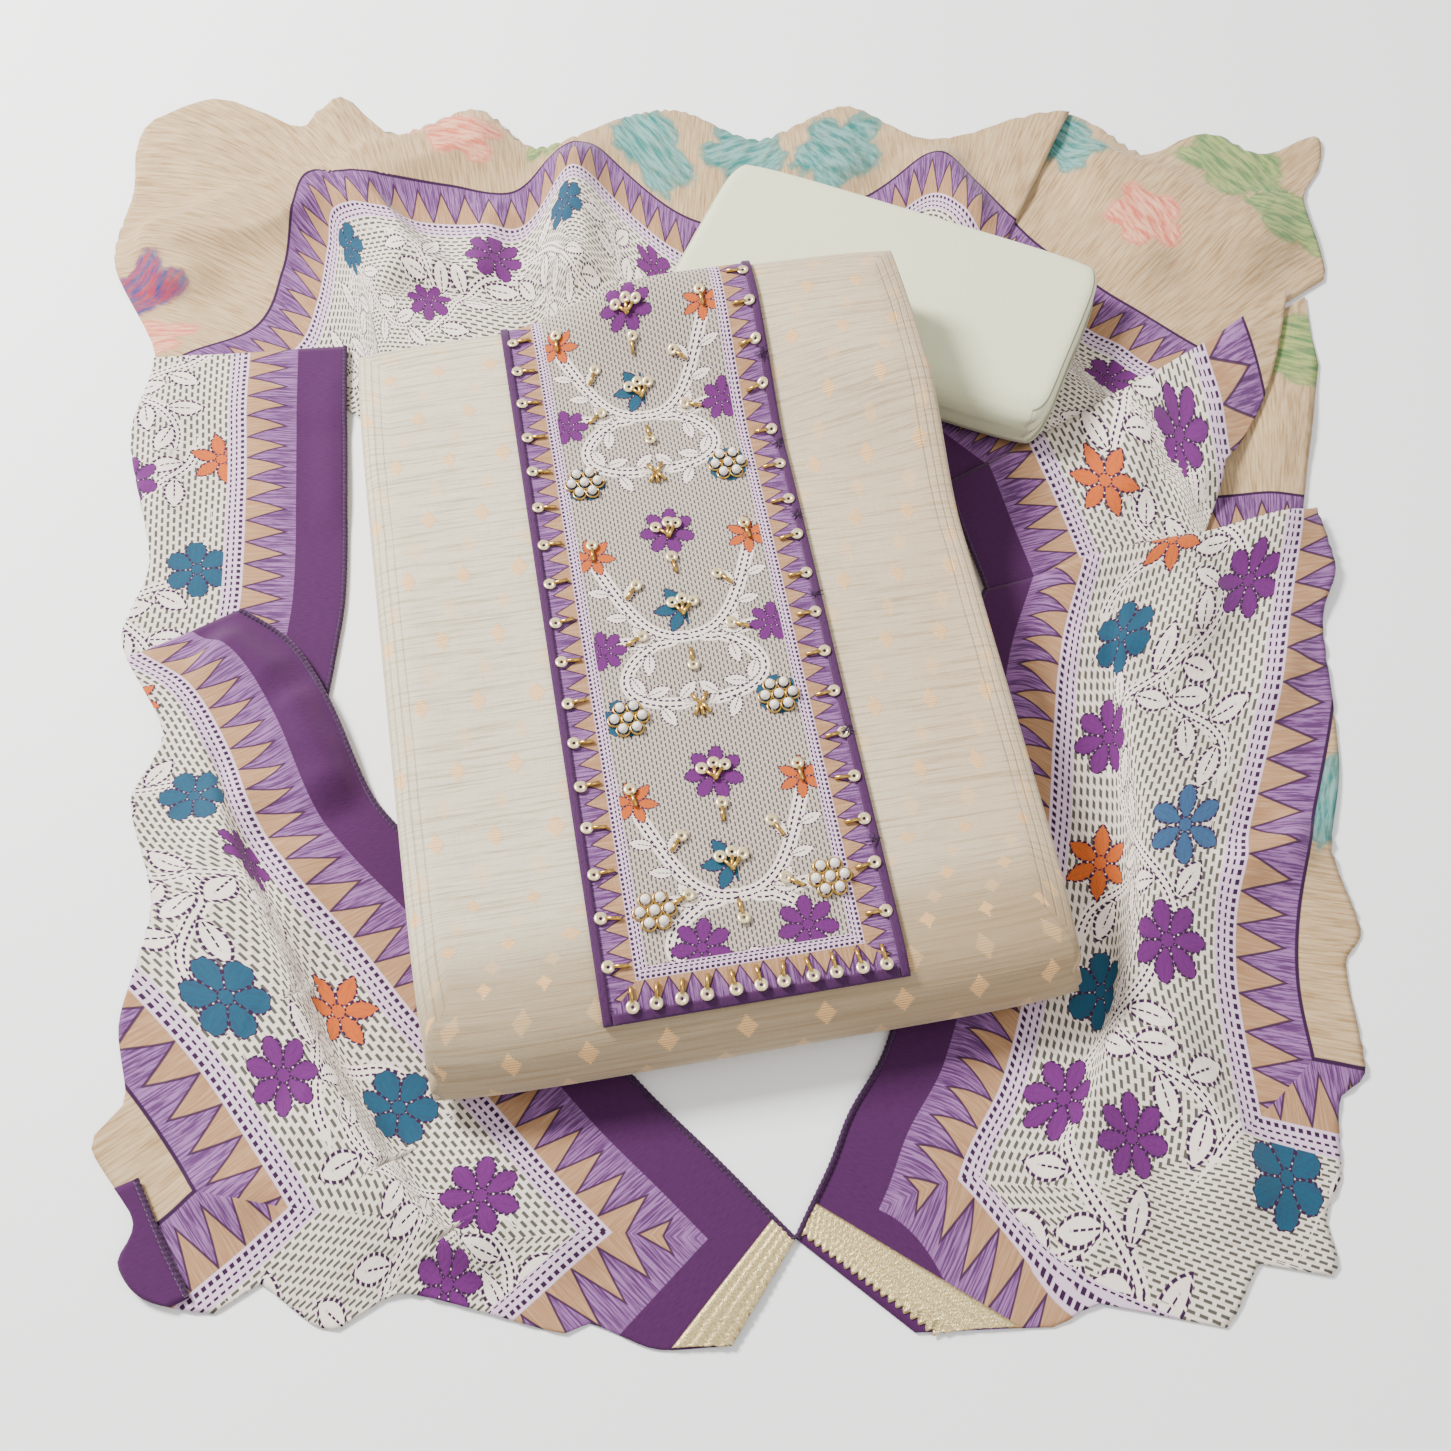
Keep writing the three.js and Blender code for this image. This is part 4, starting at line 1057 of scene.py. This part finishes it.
def folded_object(name, block, spacing, material):
    """The block's top and sides as one shell, with flat coordinates that run on down the sides."""
    g = block.garment
    xs = np.linspace(-g["half_width"], g["half_width"], int(2 * g["half_width"] / spacing) + 1)
    ys = np.linspace(-g["half_length"], g["half_length"], int(2 * g["half_length"] / spacing) + 1)
    last = len(block.rings) - 1
    x, y = np.meshgrid(xs, ys, indexing="ij")
    nx, ny = x.shape
    top = block.point(np.full(x.shape, float(last)), x, y)
    points = [top.reshape(-1, 3)]
    flats = [np.stack([x, y], -1).reshape(-1, 2)]
    loop = [(i, 0) for i in range(nx)] + [(nx - 1, j) for j in range(1, ny)]
    loop += [(i, ny - 1) for i in range(nx - 2, -1, -1)] + [(0, j) for j in range(ny - 2, 0, -1)]
    li, lj = np.array(loop).T
    lx, ly = x[li, lj], y[li, lj]
    ids = [li * ny + lj]
    faces = faces_of(nx, ny)[:, ::-1].tolist()
    total = nx * ny
    for k in range(last - 1, -1, -1):
        points.append(block.point(np.full(lx.shape, float(k)), lx, ly))
        down = block.down[k]
        on_side = (li == 0) | (li == nx - 1)
        flats.append(np.stack([lx + np.where(on_side, np.sign(lx) * down, 0),
                               ly + np.where((lj == 0) | (lj == ny - 1), np.sign(ly) * down, 0)], -1))
        ids.append(np.arange(total, total + len(loop)))
        total += len(loop)
        upper, lower = ids[-2], ids[-1]
        quads = np.stack([upper, lower, np.roll(lower, -1), np.roll(upper, -1)], 1)
        faces += quads.tolist()
    made = mesh_object(name, np.vstack(points), faces, material)
    flat_layer(made, np.vstack(flats))
    return made


KAMEEZ_RINGS = [
    (0, 8, 14), (4, 2.5, 5), (9, 0, 1), (13, 2.5, 0), (15, 4, 0), (20, 0.5, 1.5), (26, 3.5, 5), (31, 1, 9),
    (35.5, 2, 15.5), (37.2, 3.6, 19.5), (39, 8, 26), (40, 16, 36),
]
DRAPE_LIFT, DRAPE_RUN, DRAPE_MARGIN = 27.8, 74.0, 8.0


def over_salwar(x, y):
    return DRAPE_LIFT * ease(1 - (clear_of(SALWAR, x, y) - DRAPE_MARGIN) / DRAPE_RUN)


def kameez_waves(x, y):
    return 0.9 * np.sin(x / 34 + 0.6) * np.cos(y / 61) + 0.5 * np.sin(y / 27)


kameez_block = Folded(KAMEEZ, 80.0, KAMEEZ_RINGS, 0.016, over_salwar, kameez_waves, 56)

SILK_LEFT = hexed("D6CDB2")
SILK_RIGHT = hexed("CBB696")
SILK_SLUB_AND_SHADE = hexed("8F7653")
GOLD_THREAD = hexed("F0BC7A")

silk, silk_surface, start = finish(
    "slub_silk", roughness=0.6, sheen=0.35, sheen_tint=(1.0, 0.95, 0.85), specular=0.35
)
u, v = in_flat_cloth(start)
weft = (u * 0.012).joined(v * 0.55).noise(4, 0.7)
weft_fine = (u * 0.05).joined(v * 2.6).noise(3, 0.7)
warp_fine = (u * 2.8).joined(v * 0.06).noise(2, 0.6)
drift = (u * 0.01).joined(v * 0.01).noise(2, 0.5)
silk_colour = start.plain(SILK_LEFT)
silk_colour = silk_colour.painted((u / 220 + drift - 0.2).high(0).low(1), SILK_RIGHT)
slubs = weft.above(0.56, 0.08) * 0.5 + weft_fine.above(0.55, 0.12) * 0.34
silk_colour = silk_colour.painted(slubs, SILK_SLUB_AND_SHADE)
silk_colour = silk_colour.painted(warp_fine.above(0.58, 0.12) * 0.16, SILK_SLUB_AND_SHADE)
# Painted shade over the front roll and the strip of the top next to it, where the cloth turns down to the
# table.
front = (v + 172).below(0, 34)
silk_colour = silk_colour.painted(front * (0.5 + weft * 0.5), SILK_SLUB_AND_SHADE)


def layer_gap_shade(u, v, garment, pitch):
    """Painted shade: dark lines where shade falls in the gaps between the folded layers, on the block's
    sides and back.
    """
    side = (abs(u) - garment["half_width"]).high(v - garment["half_length"])
    wander = (u * 0.02).joined(v * 0.02, 3.0).noise(2) * 3.0
    return abs(repeat(side + wander, pitch) - 0.5).above(0.4, 0.06) * side.above(3.5, 1.0)


silk_gap_shade = layer_gap_shade(u, v, KAMEEZ, 5.2)
# Painted shade in the gaps between the kameez's layers.
silk_colour = silk_colour.painted(silk_gap_shade * 0.35, SILK_SLUB_AND_SHADE)
PITCH_X, PITCH_Y = 35.0, 72.0
THREAD = 1.3  # spacing of the gold threads in a motif


def butti(shift_x, shift_y):
    """Small woven lozenges, staggered row by row, filled with lines of thread."""
    line = ((v + shift_y) / (PITCH_Y / 2)).math("FLOOR")
    x = (repeat(u + shift_x + repeat(line * 0.5, 1.0) * PITCH_X, PITCH_X) - 0.5) * PITCH_X
    y = (repeat(v + shift_y, PITCH_Y / 2) - 0.5) * (PITCH_Y / 2)
    steps = (y / THREAD).math("ROUND") * THREAD
    ragged = (steps * 3.1).joined(line).noise(1) * 1.6
    shape = (abs(x) / 5.0 + abs(steps) / 6.2).below(0.6 + ragged * 0.45, 0.05)
    return shape * stitched(y, THREAD, 0.36, 0.1)


gold = butti(6.0, 4.0)
silk_colour = silk_colour.painted(butti(17.0, 22.0) * 0.45, GOLD_THREAD)
silk_colour = silk_colour.painted(gold, GOLD_THREAD)
feed(silk_surface, "Base Color", silk_colour)
feed(silk_surface, "Metallic", gold * 0.25)
silk_relief = weft * 0.5 + weft_fine * 0.4 + warp_fine * 0.25 + gold * 0.6 - silk_gap_shade * 1.6
bumped(silk_surface, silk_relief, 0.5, 0.0008)

NET = 4.0  # spacing of the mesh
GARMENT_CLOTH = 0.7
kameez_shell = folded_object("kameez_cloth", kameez_block, NET, silk)
thicken(kameez_shell, GARMENT_CLOTH)
cloth_sheet(kameez_shell)
carried(kameez_shell, "kameez_fold")

# --------------------------------------------------------------------------------------------------
# Salwar: the trousers' cloth, a plain fine weave, folded into a smaller block. The kameez partly lies on it.
# --------------------------------------------------------------------------------------------------

SALWAR_RINGS = [
    (0, 5, 6), (3, 1, 2), (7, 0, 0), (9.5, 2.6, 0), (14, 0.5, 1), (17, 2.6, 1.5), (21, 0.6, 3.5),
    (24, 2, 7), (25.4, 4.5, 12),
]


def salwar_waves(x, y):
    return 0.5 * np.sin(x / 30) * np.cos(y / 25)


salwar_block = Folded(SALWAR, 60.0, SALWAR_RINGS, 0.05, lambda x, y: 0 * x, salwar_waves, 44)
COTTON, COTTON_THREAD = hexed("DBDEBB"), hexed("B9B9A2")
COTTON_GAP_SHADE, COTTON_SHADE = hexed("6F6E58"), hexed("A9A88E")
cotton, cotton_surface, start = finish("plain_weave", roughness=0.85, sheen=0.2, specular=0.2)
u, v = in_flat_cloth(start)
thread_u = (u * 2.2).joined(v * 0.15).noise(2, 0.6)
thread_v = (u * 0.15).joined(v * 2.2).noise(2, 0.6)
threads = thread_u.above(0.55, 0.15) * 0.12 + thread_v.above(0.55, 0.15) * 0.12
cotton_colour = start.plain(COTTON).painted(threads, COTTON_THREAD)
cotton_gap_shade = layer_gap_shade(u, v, SALWAR, 6.4)
# Painted shade in the gaps between the salwar's layers.
cotton_colour = cotton_colour.painted(cotton_gap_shade * 0.8, COTTON_GAP_SHADE)
cotton_colour = cotton_colour.painted((v + 58).below(0, 14) * 0.35, COTTON_SHADE)
feed(cotton_surface, "Base Color", cotton_colour)
bumped(cotton_surface, thread_u * 0.3 + thread_v * 0.3 - cotton_gap_shade * 1.5, 0.5, 0.0008)
salwar_shell = folded_object("salwar_cloth", salwar_block, NET, cotton)
thicken(salwar_shell, GARMENT_CLOTH)
cloth_sheet(salwar_shell)
carried(salwar_shell, "salwar_fold")

# --------------------------------------------------------------------------------------------------
# Neck panel: a printed and stitched length sewn down the middle of the kameez's front. It is bound at its
# edges with a dark purple strip and set with sequins, bugles and pearls.
# --------------------------------------------------------------------------------------------------

PANEL_HALF = 68.0
BINDING = 4.0
PANEL_OUT = 0.35
PANEL_WALL = 1.0
BINDING_WALL = 0.7


def panel_path():
    """The panel's run over the block: up the front roll, along the top, and down over the far edge."""
    last = len(kameez_block.rings) - 1
    per_ring = last / (len(KAMEEZ_RINGS) - 1)
    far = KAMEEZ["half_length"]
    lengthways = np.arange(-far, far + 0.1, 3.0)
    lengthways[-1] = far
    up = np.arange(8 * per_ring, last, 1.0)
    down = np.arange(last - 1.0, 7 * per_ring - 0.5, -1.0)
    rings = np.concatenate([up, np.full(len(lengthways), last), down])
    ys = np.concatenate([np.full(len(up), -far), lengthways, np.full(len(down), far)])
    return rings, ys


PATH_RINGS, PATH_YS = panel_path()


def sewn_net(xs, out):
    """Points and normals of a net over the kameez, moved out from it."""
    x, ring = np.meshgrid(np.asarray(xs, float), PATH_RINGS, indexing="ij")
    y = np.broadcast_to(PATH_YS, x.shape)
    points = kameez_block.point(ring, x, y)
    along = np.gradient(points, axis=1)
    normal = np.cross(np.gradient(points, axis=0), along)
    normal /= np.linalg.norm(normal, axis=-1, keepdims=True)
    return points + out * normal, normal


def path_lengths():
    points, _ = sewn_net([0.0, 1.0, 2.0], 0)
    steps = np.linalg.norm(np.diff(points[0], axis=0), axis=1)
    return np.concatenate([[0], np.cumsum(steps)])


PATH_LENGTHS = path_lengths()


def panel_spots(xs, rows):
    """Where the points of a net over the panel lie in it, flat."""
    return np.stack(np.broadcast_arrays(xs[:, None], PATH_LENGTHS[None, :rows]), -1).reshape(-1, 2)


def sewn_object(node, xs, out, thickness, material, rows=None):
    points = sewn_net(xs, out + thickness)[0][:, :rows]
    faces = faces_of(*points.shape[:2])[:, ::-1]
    made = mesh_object(node + "_cloth", points.reshape(-1, 3), faces, material)
    flat_layer(made, panel_spots(xs, rows))
    thicken(made, thickness)
    carried(made, node)
    return made


# The panel's print repeats three times up its length; v is up from its lower end, u across from its middle.
REPEATS = (65.0, 202.0, 339.0)
PANEL_FLOWERS = [(-20, 27, PURPLE, 0, 0.78), (28, 30, PURPLE, 12, 0.78)]
PANEL_STEMS = []
PANEL_LEAVES = []
for middle in REPEATS:
    PANEL_FLOWERS += [
        (0, middle + 46, PURPLE, 0, 0.78), (0, middle, LOTUS, 90, 0.8),
        (-39, middle + 37, ORANGE, 15, 0.64), (39, middle + 37, ORANGE, -5, 0.64),
    ]
    if middle > REPEATS[0]:
        PANEL_FLOWERS += [(-41, middle - 17, PURPLE, 20, 0.62), (41, middle - 15, PURPLE, 5, 0.62)]
        PANEL_FLOWERS += [(-37, middle - 55, TEAL, 20, 0.62), (37, middle - 55, TEAL, 5, 0.62)]
    for side in (-1, 1):
        rising, falling, looping = (
            swept(*((side * out, middle + up) for out, up in bend))
            for bend in (
                ((0, -16), (20, -17), (27, 2), (38, 30)),
                ((8, -17), (20, -20), (28, -12), (38, -16)),
                ((14, -17), (42, -30), (38, -50), (8, -52)),
            )
        )
        PANEL_STEMS += [rising, falling, looping]
        PANEL_LEAVES += leaves_along(rising, 8, side, 12, 5.6) + leaves_along(looping, 8.5, -side, 13, 6.2)
        PANEL_LEAVES += leaves_along(falling, 17, side, 10, 5.0)

neck_print, neck_surface, start = finish("neck_panel_print", roughness=0.85, sheen=0.15, specular=0.2)
u, v = in_flat_cloth(start)
inward = PANEL_HALF - abs(u)
d = inward.low(v)
s = v + (u - v) * (v - inward).below(0, 0.01)
neck_slub = (u * 0.9).joined(v * 0.08).noise(3, 0.6)
neck_ground = start.plain(hexed("B1A399"))
NECK_ROWS_FROM, NECK_FIELD_FROM = 17.0, 22.4
neck_zigzag = zigzag(neck_ground, d - BINDING, s, NECK_ROWS_FROM - BINDING, 10.5)
neck_rows = neck_ground.plain(ROW_GROUND)
for centre, width in ((18.0, 1.3), (20.0, 0.8), (21.6, 0.8)):
    beat = abs(repeat(s + centre, 2.4) - 0.5) * 2.4
    neck_rows = neck_rows.painted(beat.below(0.75, 0.1) * abs(d - centre).below(width / 2, 0.1), INK)
neck_stitches = dashes(u, v, 1.9, 3.4, 0.75, 2.3, 0.1)
neck_field = with_flowers(with_leaves(neck_ground.painted(neck_stitches * 0.9, hexed("262722"))))
neck_colour = neck_ground.plain(BAND)
neck_bands = ((BINDING, neck_zigzag), (NECK_ROWS_FROM, neck_rows), (NECK_FIELD_FROM, neck_field))
for band_from, band_colour in neck_bands:
    neck_colour = neck_colour.painted(d.above(band_from, 0.2), band_colour)
feed(neck_surface, "Base Color", neck_colour)
bumped(neck_surface, neck_slub * 0.6 - neck_stitches * 0.4, 0.35, 0.0005)

panel_columns = np.linspace(-PANEL_HALF, PANEL_HALF, 46)
neck_panel = sewn_object("neck_panel", panel_columns, PANEL_OUT, PANEL_WALL, neck_print)
motif_layers(neck_panel, panel_spots(panel_columns, None), PANEL_FLOWERS, PANEL_LEAVES, PANEL_STEMS)

binding_cloth, binding_surface, start = finish("binding_cloth", roughness=0.75, sheen=0.2, specular=0.25)
u, v = in_flat_cloth(start)
ribs = (u * 2.0).joined(v * 0.4).noise(3, 0.6)
binding_colour = start.plain(hexed("431A48")).painted(ribs.above(0.55, 0.1) * 0.6, BAND_DEEP)
feed(binding_surface, "Base Color", binding_colour)
bumped(binding_surface, ribs, 0.5, 0.0005)
on_panel = 2 * PANEL_OUT + PANEL_WALL
inner = PANEL_HALF - BINDING
low_rows = int(np.searchsorted(PATH_LENGTHS, BINDING)) + 1
for node, xs, rows in (
    ("binding_left", np.linspace(-PANEL_HALF, -inner, 4), None),
    ("binding_right", np.linspace(inner, PANEL_HALF, 4), None),
    ("binding_lower", np.linspace(-inner + PANEL_OUT, inner - PANEL_OUT, 30), low_rows),
):
    sewn_object(node, xs, on_panel, BINDING_WALL, binding_cloth, rows)
cloth_sheet(neck_panel)

# --------------------------------------------------------------------------------------------------
# Beadwork: cream-gold sequins with a hole, gold bugle beads and rings of pearls in gold rims. Each is sewn
# on the panel with thread, and short tufts of it stand at the right-hand edge.
# --------------------------------------------------------------------------------------------------

TOP_POINTS, TOP_NORMALS = sewn_net(panel_columns, PANEL_OUT + PANEL_WALL)


class Beads:
    """Many small copies of a shape, gathered into one mesh."""

    def __init__(self, name, shape, shape_faces, material):
        self.name, self.shape, self.shape_faces, self.material = name, shape, shape_faces, material
        self.points, self.faces = [], []

    def sew(self, u, v, turn, out, tilt=0.0, slide=0.0):
        """A copy on the panel at u, v, turned in degrees, out above it, slid along its own x."""
        i = (u + PANEL_HALF) / (2 * PANEL_HALF) * (len(panel_columns) - 1)
        j = np.interp(v, PATH_LENGTHS, np.arange(len(PATH_LENGTHS)))
        i, j = int(min(i, len(panel_columns) - 2)), int(min(j, len(PATH_LENGTHS) - 2))
        corner, up = TOP_POINTS[i, j], TOP_NORMALS[i, j]
        across = TOP_POINTS[i + 1, j] - corner
        along = TOP_POINTS[i, j + 1] - corner
        part_u = (u - panel_columns[i]) / (panel_columns[i + 1] - panel_columns[i])
        part_v = (v - PATH_LENGTHS[j]) / (PATH_LENGTHS[j + 1] - PATH_LENGTHS[j])
        place = corner + part_u * across + part_v * along
        across, along = across / np.linalg.norm(across), along / np.linalg.norm(along)
        c, s = math.cos(math.radians(turn)), math.sin(math.radians(turn))
        x_axis, y_axis = c * across + s * along, c * along - s * across
        x, y, z = self.shape.T
        z = z + tilt * (x + 3)
        x = x + slide
        self.faces.append(self.shape_faces + len(self.points) * len(self.shape))
        self.points.append(place + x[:, None] * x_axis + y[:, None] * y_axis + (z + out)[:, None] * up)

    def done(self):
        made = mesh_object(self.name, np.vstack(self.points), np.vstack(self.faces), self.material)
        carried(made)


def turned_shape(profile, segments):
    """A closed ring of radius and height pairs turned about z, as points and faces."""
    radius, height = np.array(profile, float).T
    angle = np.arange(segments) * 2 * math.pi / segments
    radius, height = radius[:, None], height[:, None]
    around = np.broadcast_arrays(radius * np.cos(angle), radius * np.sin(angle), height)
    points = np.stack(around, -1)
    i, j = np.meshgrid(np.arange(len(radius)), np.arange(segments), indexing="ij")
    after, beside = (i + 1) % len(radius), (j + 1) % segments
    here, there = i * segments, after * segments
    faces = np.stack([here + j, here + beside, there + beside, there + j], -1)
    return points.reshape(-1, 3), faces.reshape(-1, 4)


def bead_finish(name, code, shade, roughness, metallic):
    made, surface, start = finish(name, roughness=roughness, metallic=metallic, specular=0.6)
    drift = speckle(start, 900.0, 2)
    feed(surface, "Base Color", start.plain(hexed(code)).painted(drift.above(0.5, 0.2) * 0.6, hexed(shade)))
    bumped(surface, drift, 0.15, 0.0002)
    return made


sequin_gold = bead_finish("sequin_gold", "EADAB0", "CDB276", 0.28, 0.45)
bugle_gold = bead_finish("bugle_gold", "D2AC5C", "8E6A2C", 0.25, 0.9)
pearl_white = bead_finish("pearl_white", "F4EEE6", "DCD2CC", 0.2, 0.05)
dish = [(0.8, 0), (3.0, 0.35), (3.0, 0.65), (0.8, 0.3)]
sequins = Beads("panel_sequins", *turned_shape(dish, 20), sequin_gold)
tube, tube_faces = turned_shape([(0.45, -3.6), (0.95, -3.5), (0.95, 3.5), (0.45, 3.6)], 10)
bugles = Beads("panel_bugles", tube[:, [2, 0, 1]], tube_faces, bugle_gold)
PEARL = 2.3
ball = [(PEARL * math.sin(a) + 0.02, -PEARL * math.cos(a)) for a in np.linspace(0.05, math.pi - 0.05, 10)]
pearls = Beads("panel_pearls", *turned_shape(ball, 14), pearl_white)
rim = [(3.15 + 0.55 * math.cos(a), 0.55 * math.sin(a)) for a in np.arange(8) * math.pi / 4]
pearl_rims = Beads("panel_pearl_rims", *turned_shape(rim, 18), bugle_gold)
BUGLE_OUT = 1.1  # height of a bugle's middle over the cloth
shaken = random.Random(4)


def round_by(u, v, turn, reach_u, reach_v):
    """A place round u, v in the direction of the turn."""
    return u + reach_u * math.cos(math.radians(turn)), v + reach_v * math.sin(math.radians(turn))


def spangle(u, v, turn):
    """A bugle with a sequin at its outer end, both held by one thread."""
    turn = turn + shaken.uniform(-9, 9)
    bugles.sew(u, v, turn, BUGLE_OUT, 0.04)
    sequins.sew(u, v, turn, 0.8, 0.12 * shaken.random(), 5.6)


for v in np.arange(24.0, 392.0, 22.6):
    spangle(-56.5, v, 180)
    spangle(57.5, v + 6, 0)
for u in np.linspace(-54, 58, 11):
    spangle(u, 11.5, -90 + u / 8)
for middle in REPEATS:
    for turn in (50, 90, 130):
        spangle(*round_by(0, middle + 43, turn, 2.5, 2), turn)
        spangle(*round_by(0, middle - 3, turn, 2.5, 2), turn)
    for side in (-1, 1):
        spangle(39 * side, middle + 38, 90)
        spangle(24 * side, middle + 12, 90 + side * 35)
        spangle(27 * side, middle - 15, 60 * side + 90)
    spangle(0, middle + 24, 90)
    spangle(0, middle - 27 if middle > REPEATS[0] else middle - 22, -90)
    if middle > REPEATS[0]:
        for turn in (-60, -90, -120, 60, 120):
            bugles.sew(*round_by(0, middle - 54, turn, 4, 3), turn, BUGLE_OUT)
for u, v in ((-37, 284), (37, 284), (-35, 146), (37, 146), (-38, 47), (42, 50)):
    for petal in range(7):
        ring = 0 if petal == 6 else 6.6
        spot = round_by(u, v, 60 * petal, ring, ring)
        pearls.sew(*spot, 0, 2.5)
        pearl_rims.sew(*spot, 0, 0.7)
strand, strand_faces = turned_shape([(0.05, -3.4), (0.22, -3.0), (0.22, 3.0), (0.05, 3.4)], 5)
strand[:, 0] += 0.05 * strand[:, 2] ** 2
tufts = Beads("panel_thread_tufts", strand[:, [2, 0, 1]], strand_faces, hem_thread)
for v in (338, 292, 246, 198, 122, 64):
    for _ in range(7):
        tufts.sew(65 + shaken.uniform(-1, 1), v + shaken.uniform(-1, 1), shaken.uniform(0, 360), 1.2, 0.1)
for beads in (sequins, bugles, pearls, pearl_rims, tufts):
    beads.done()

# --------------------------------------------------------------------------------------------------
# Gold lace: a crocheted braid of metallic thread, sewn over each end of the dupatta where the two ends meet.
# Its rows of chain stitch run along it, and its outer edge is drawn out in small points.
# --------------------------------------------------------------------------------------------------

gold_braid, gold_surface, start = finish("gold_braid", roughness=0.38, metallic=0.75, specular=0.5)
u, v = in_flat_cloth(start)
twist = (u * 1.2).joined(v * 1.2).noise(3, 0.6)
gold_colour = start.plain(hexed("DFCB96")).painted(twist.above(0.5, 0.15) * 0.7, hexed("9C8350"))
feed(gold_surface, "Base Color", gold_colour)
bumped(gold_surface, twist, 0.6, 0.0006)


def lace_object(name, stretch_name, low, high):
    """The braid over a stretch, between two distances along the stretch's hem."""
    stretch = STRETCHES[stretch_name]
    across = np.linspace(0, 1, 17)
    bands = low + (high - low) * across
    reach = stretch.limit(bands, 1, np.full(len(bands), 400.0)) - 1
    b = np.repeat(bands[:, None], int(reach.max() / 0.7), 1)
    r = 1 + (reach[:, None] - 1) * np.linspace(0, 1, b.shape[1])
    points_out = 2.2 * np.abs(np.sin(math.pi * r / 3.8)) * (1 - across[:, None]) ** 3
    x, y = stretch.place(np.maximum(b - points_out, 0.05), r)
    z = stretch.height(b, r) + 0.4
    chains = np.abs(np.sin(math.pi * across[:, None] * 4)) ** 0.6
    chains = chains * (0.75 + 0.35 * np.sin(r * 2.4 + across[:, None] * 9))
    points = np.stack([x, y, z + 0.5 * chains], -1).reshape(-1, 3)
    made = mesh_object(name + "_braid", points, facing_up(points, faces_of(*x.shape)), gold_braid)
    flat_layer(made, np.stack([b, r], -1).reshape(-1, 2))
    thicken(made, 0.4)
    cloth_sheet(made)
    carried(made, name)


lace_object("lace_left", "dupatta_left_end", 0.5, 12.5)
lace_object("lace_right", "dupatta_right_end", 4.5, 17.5)
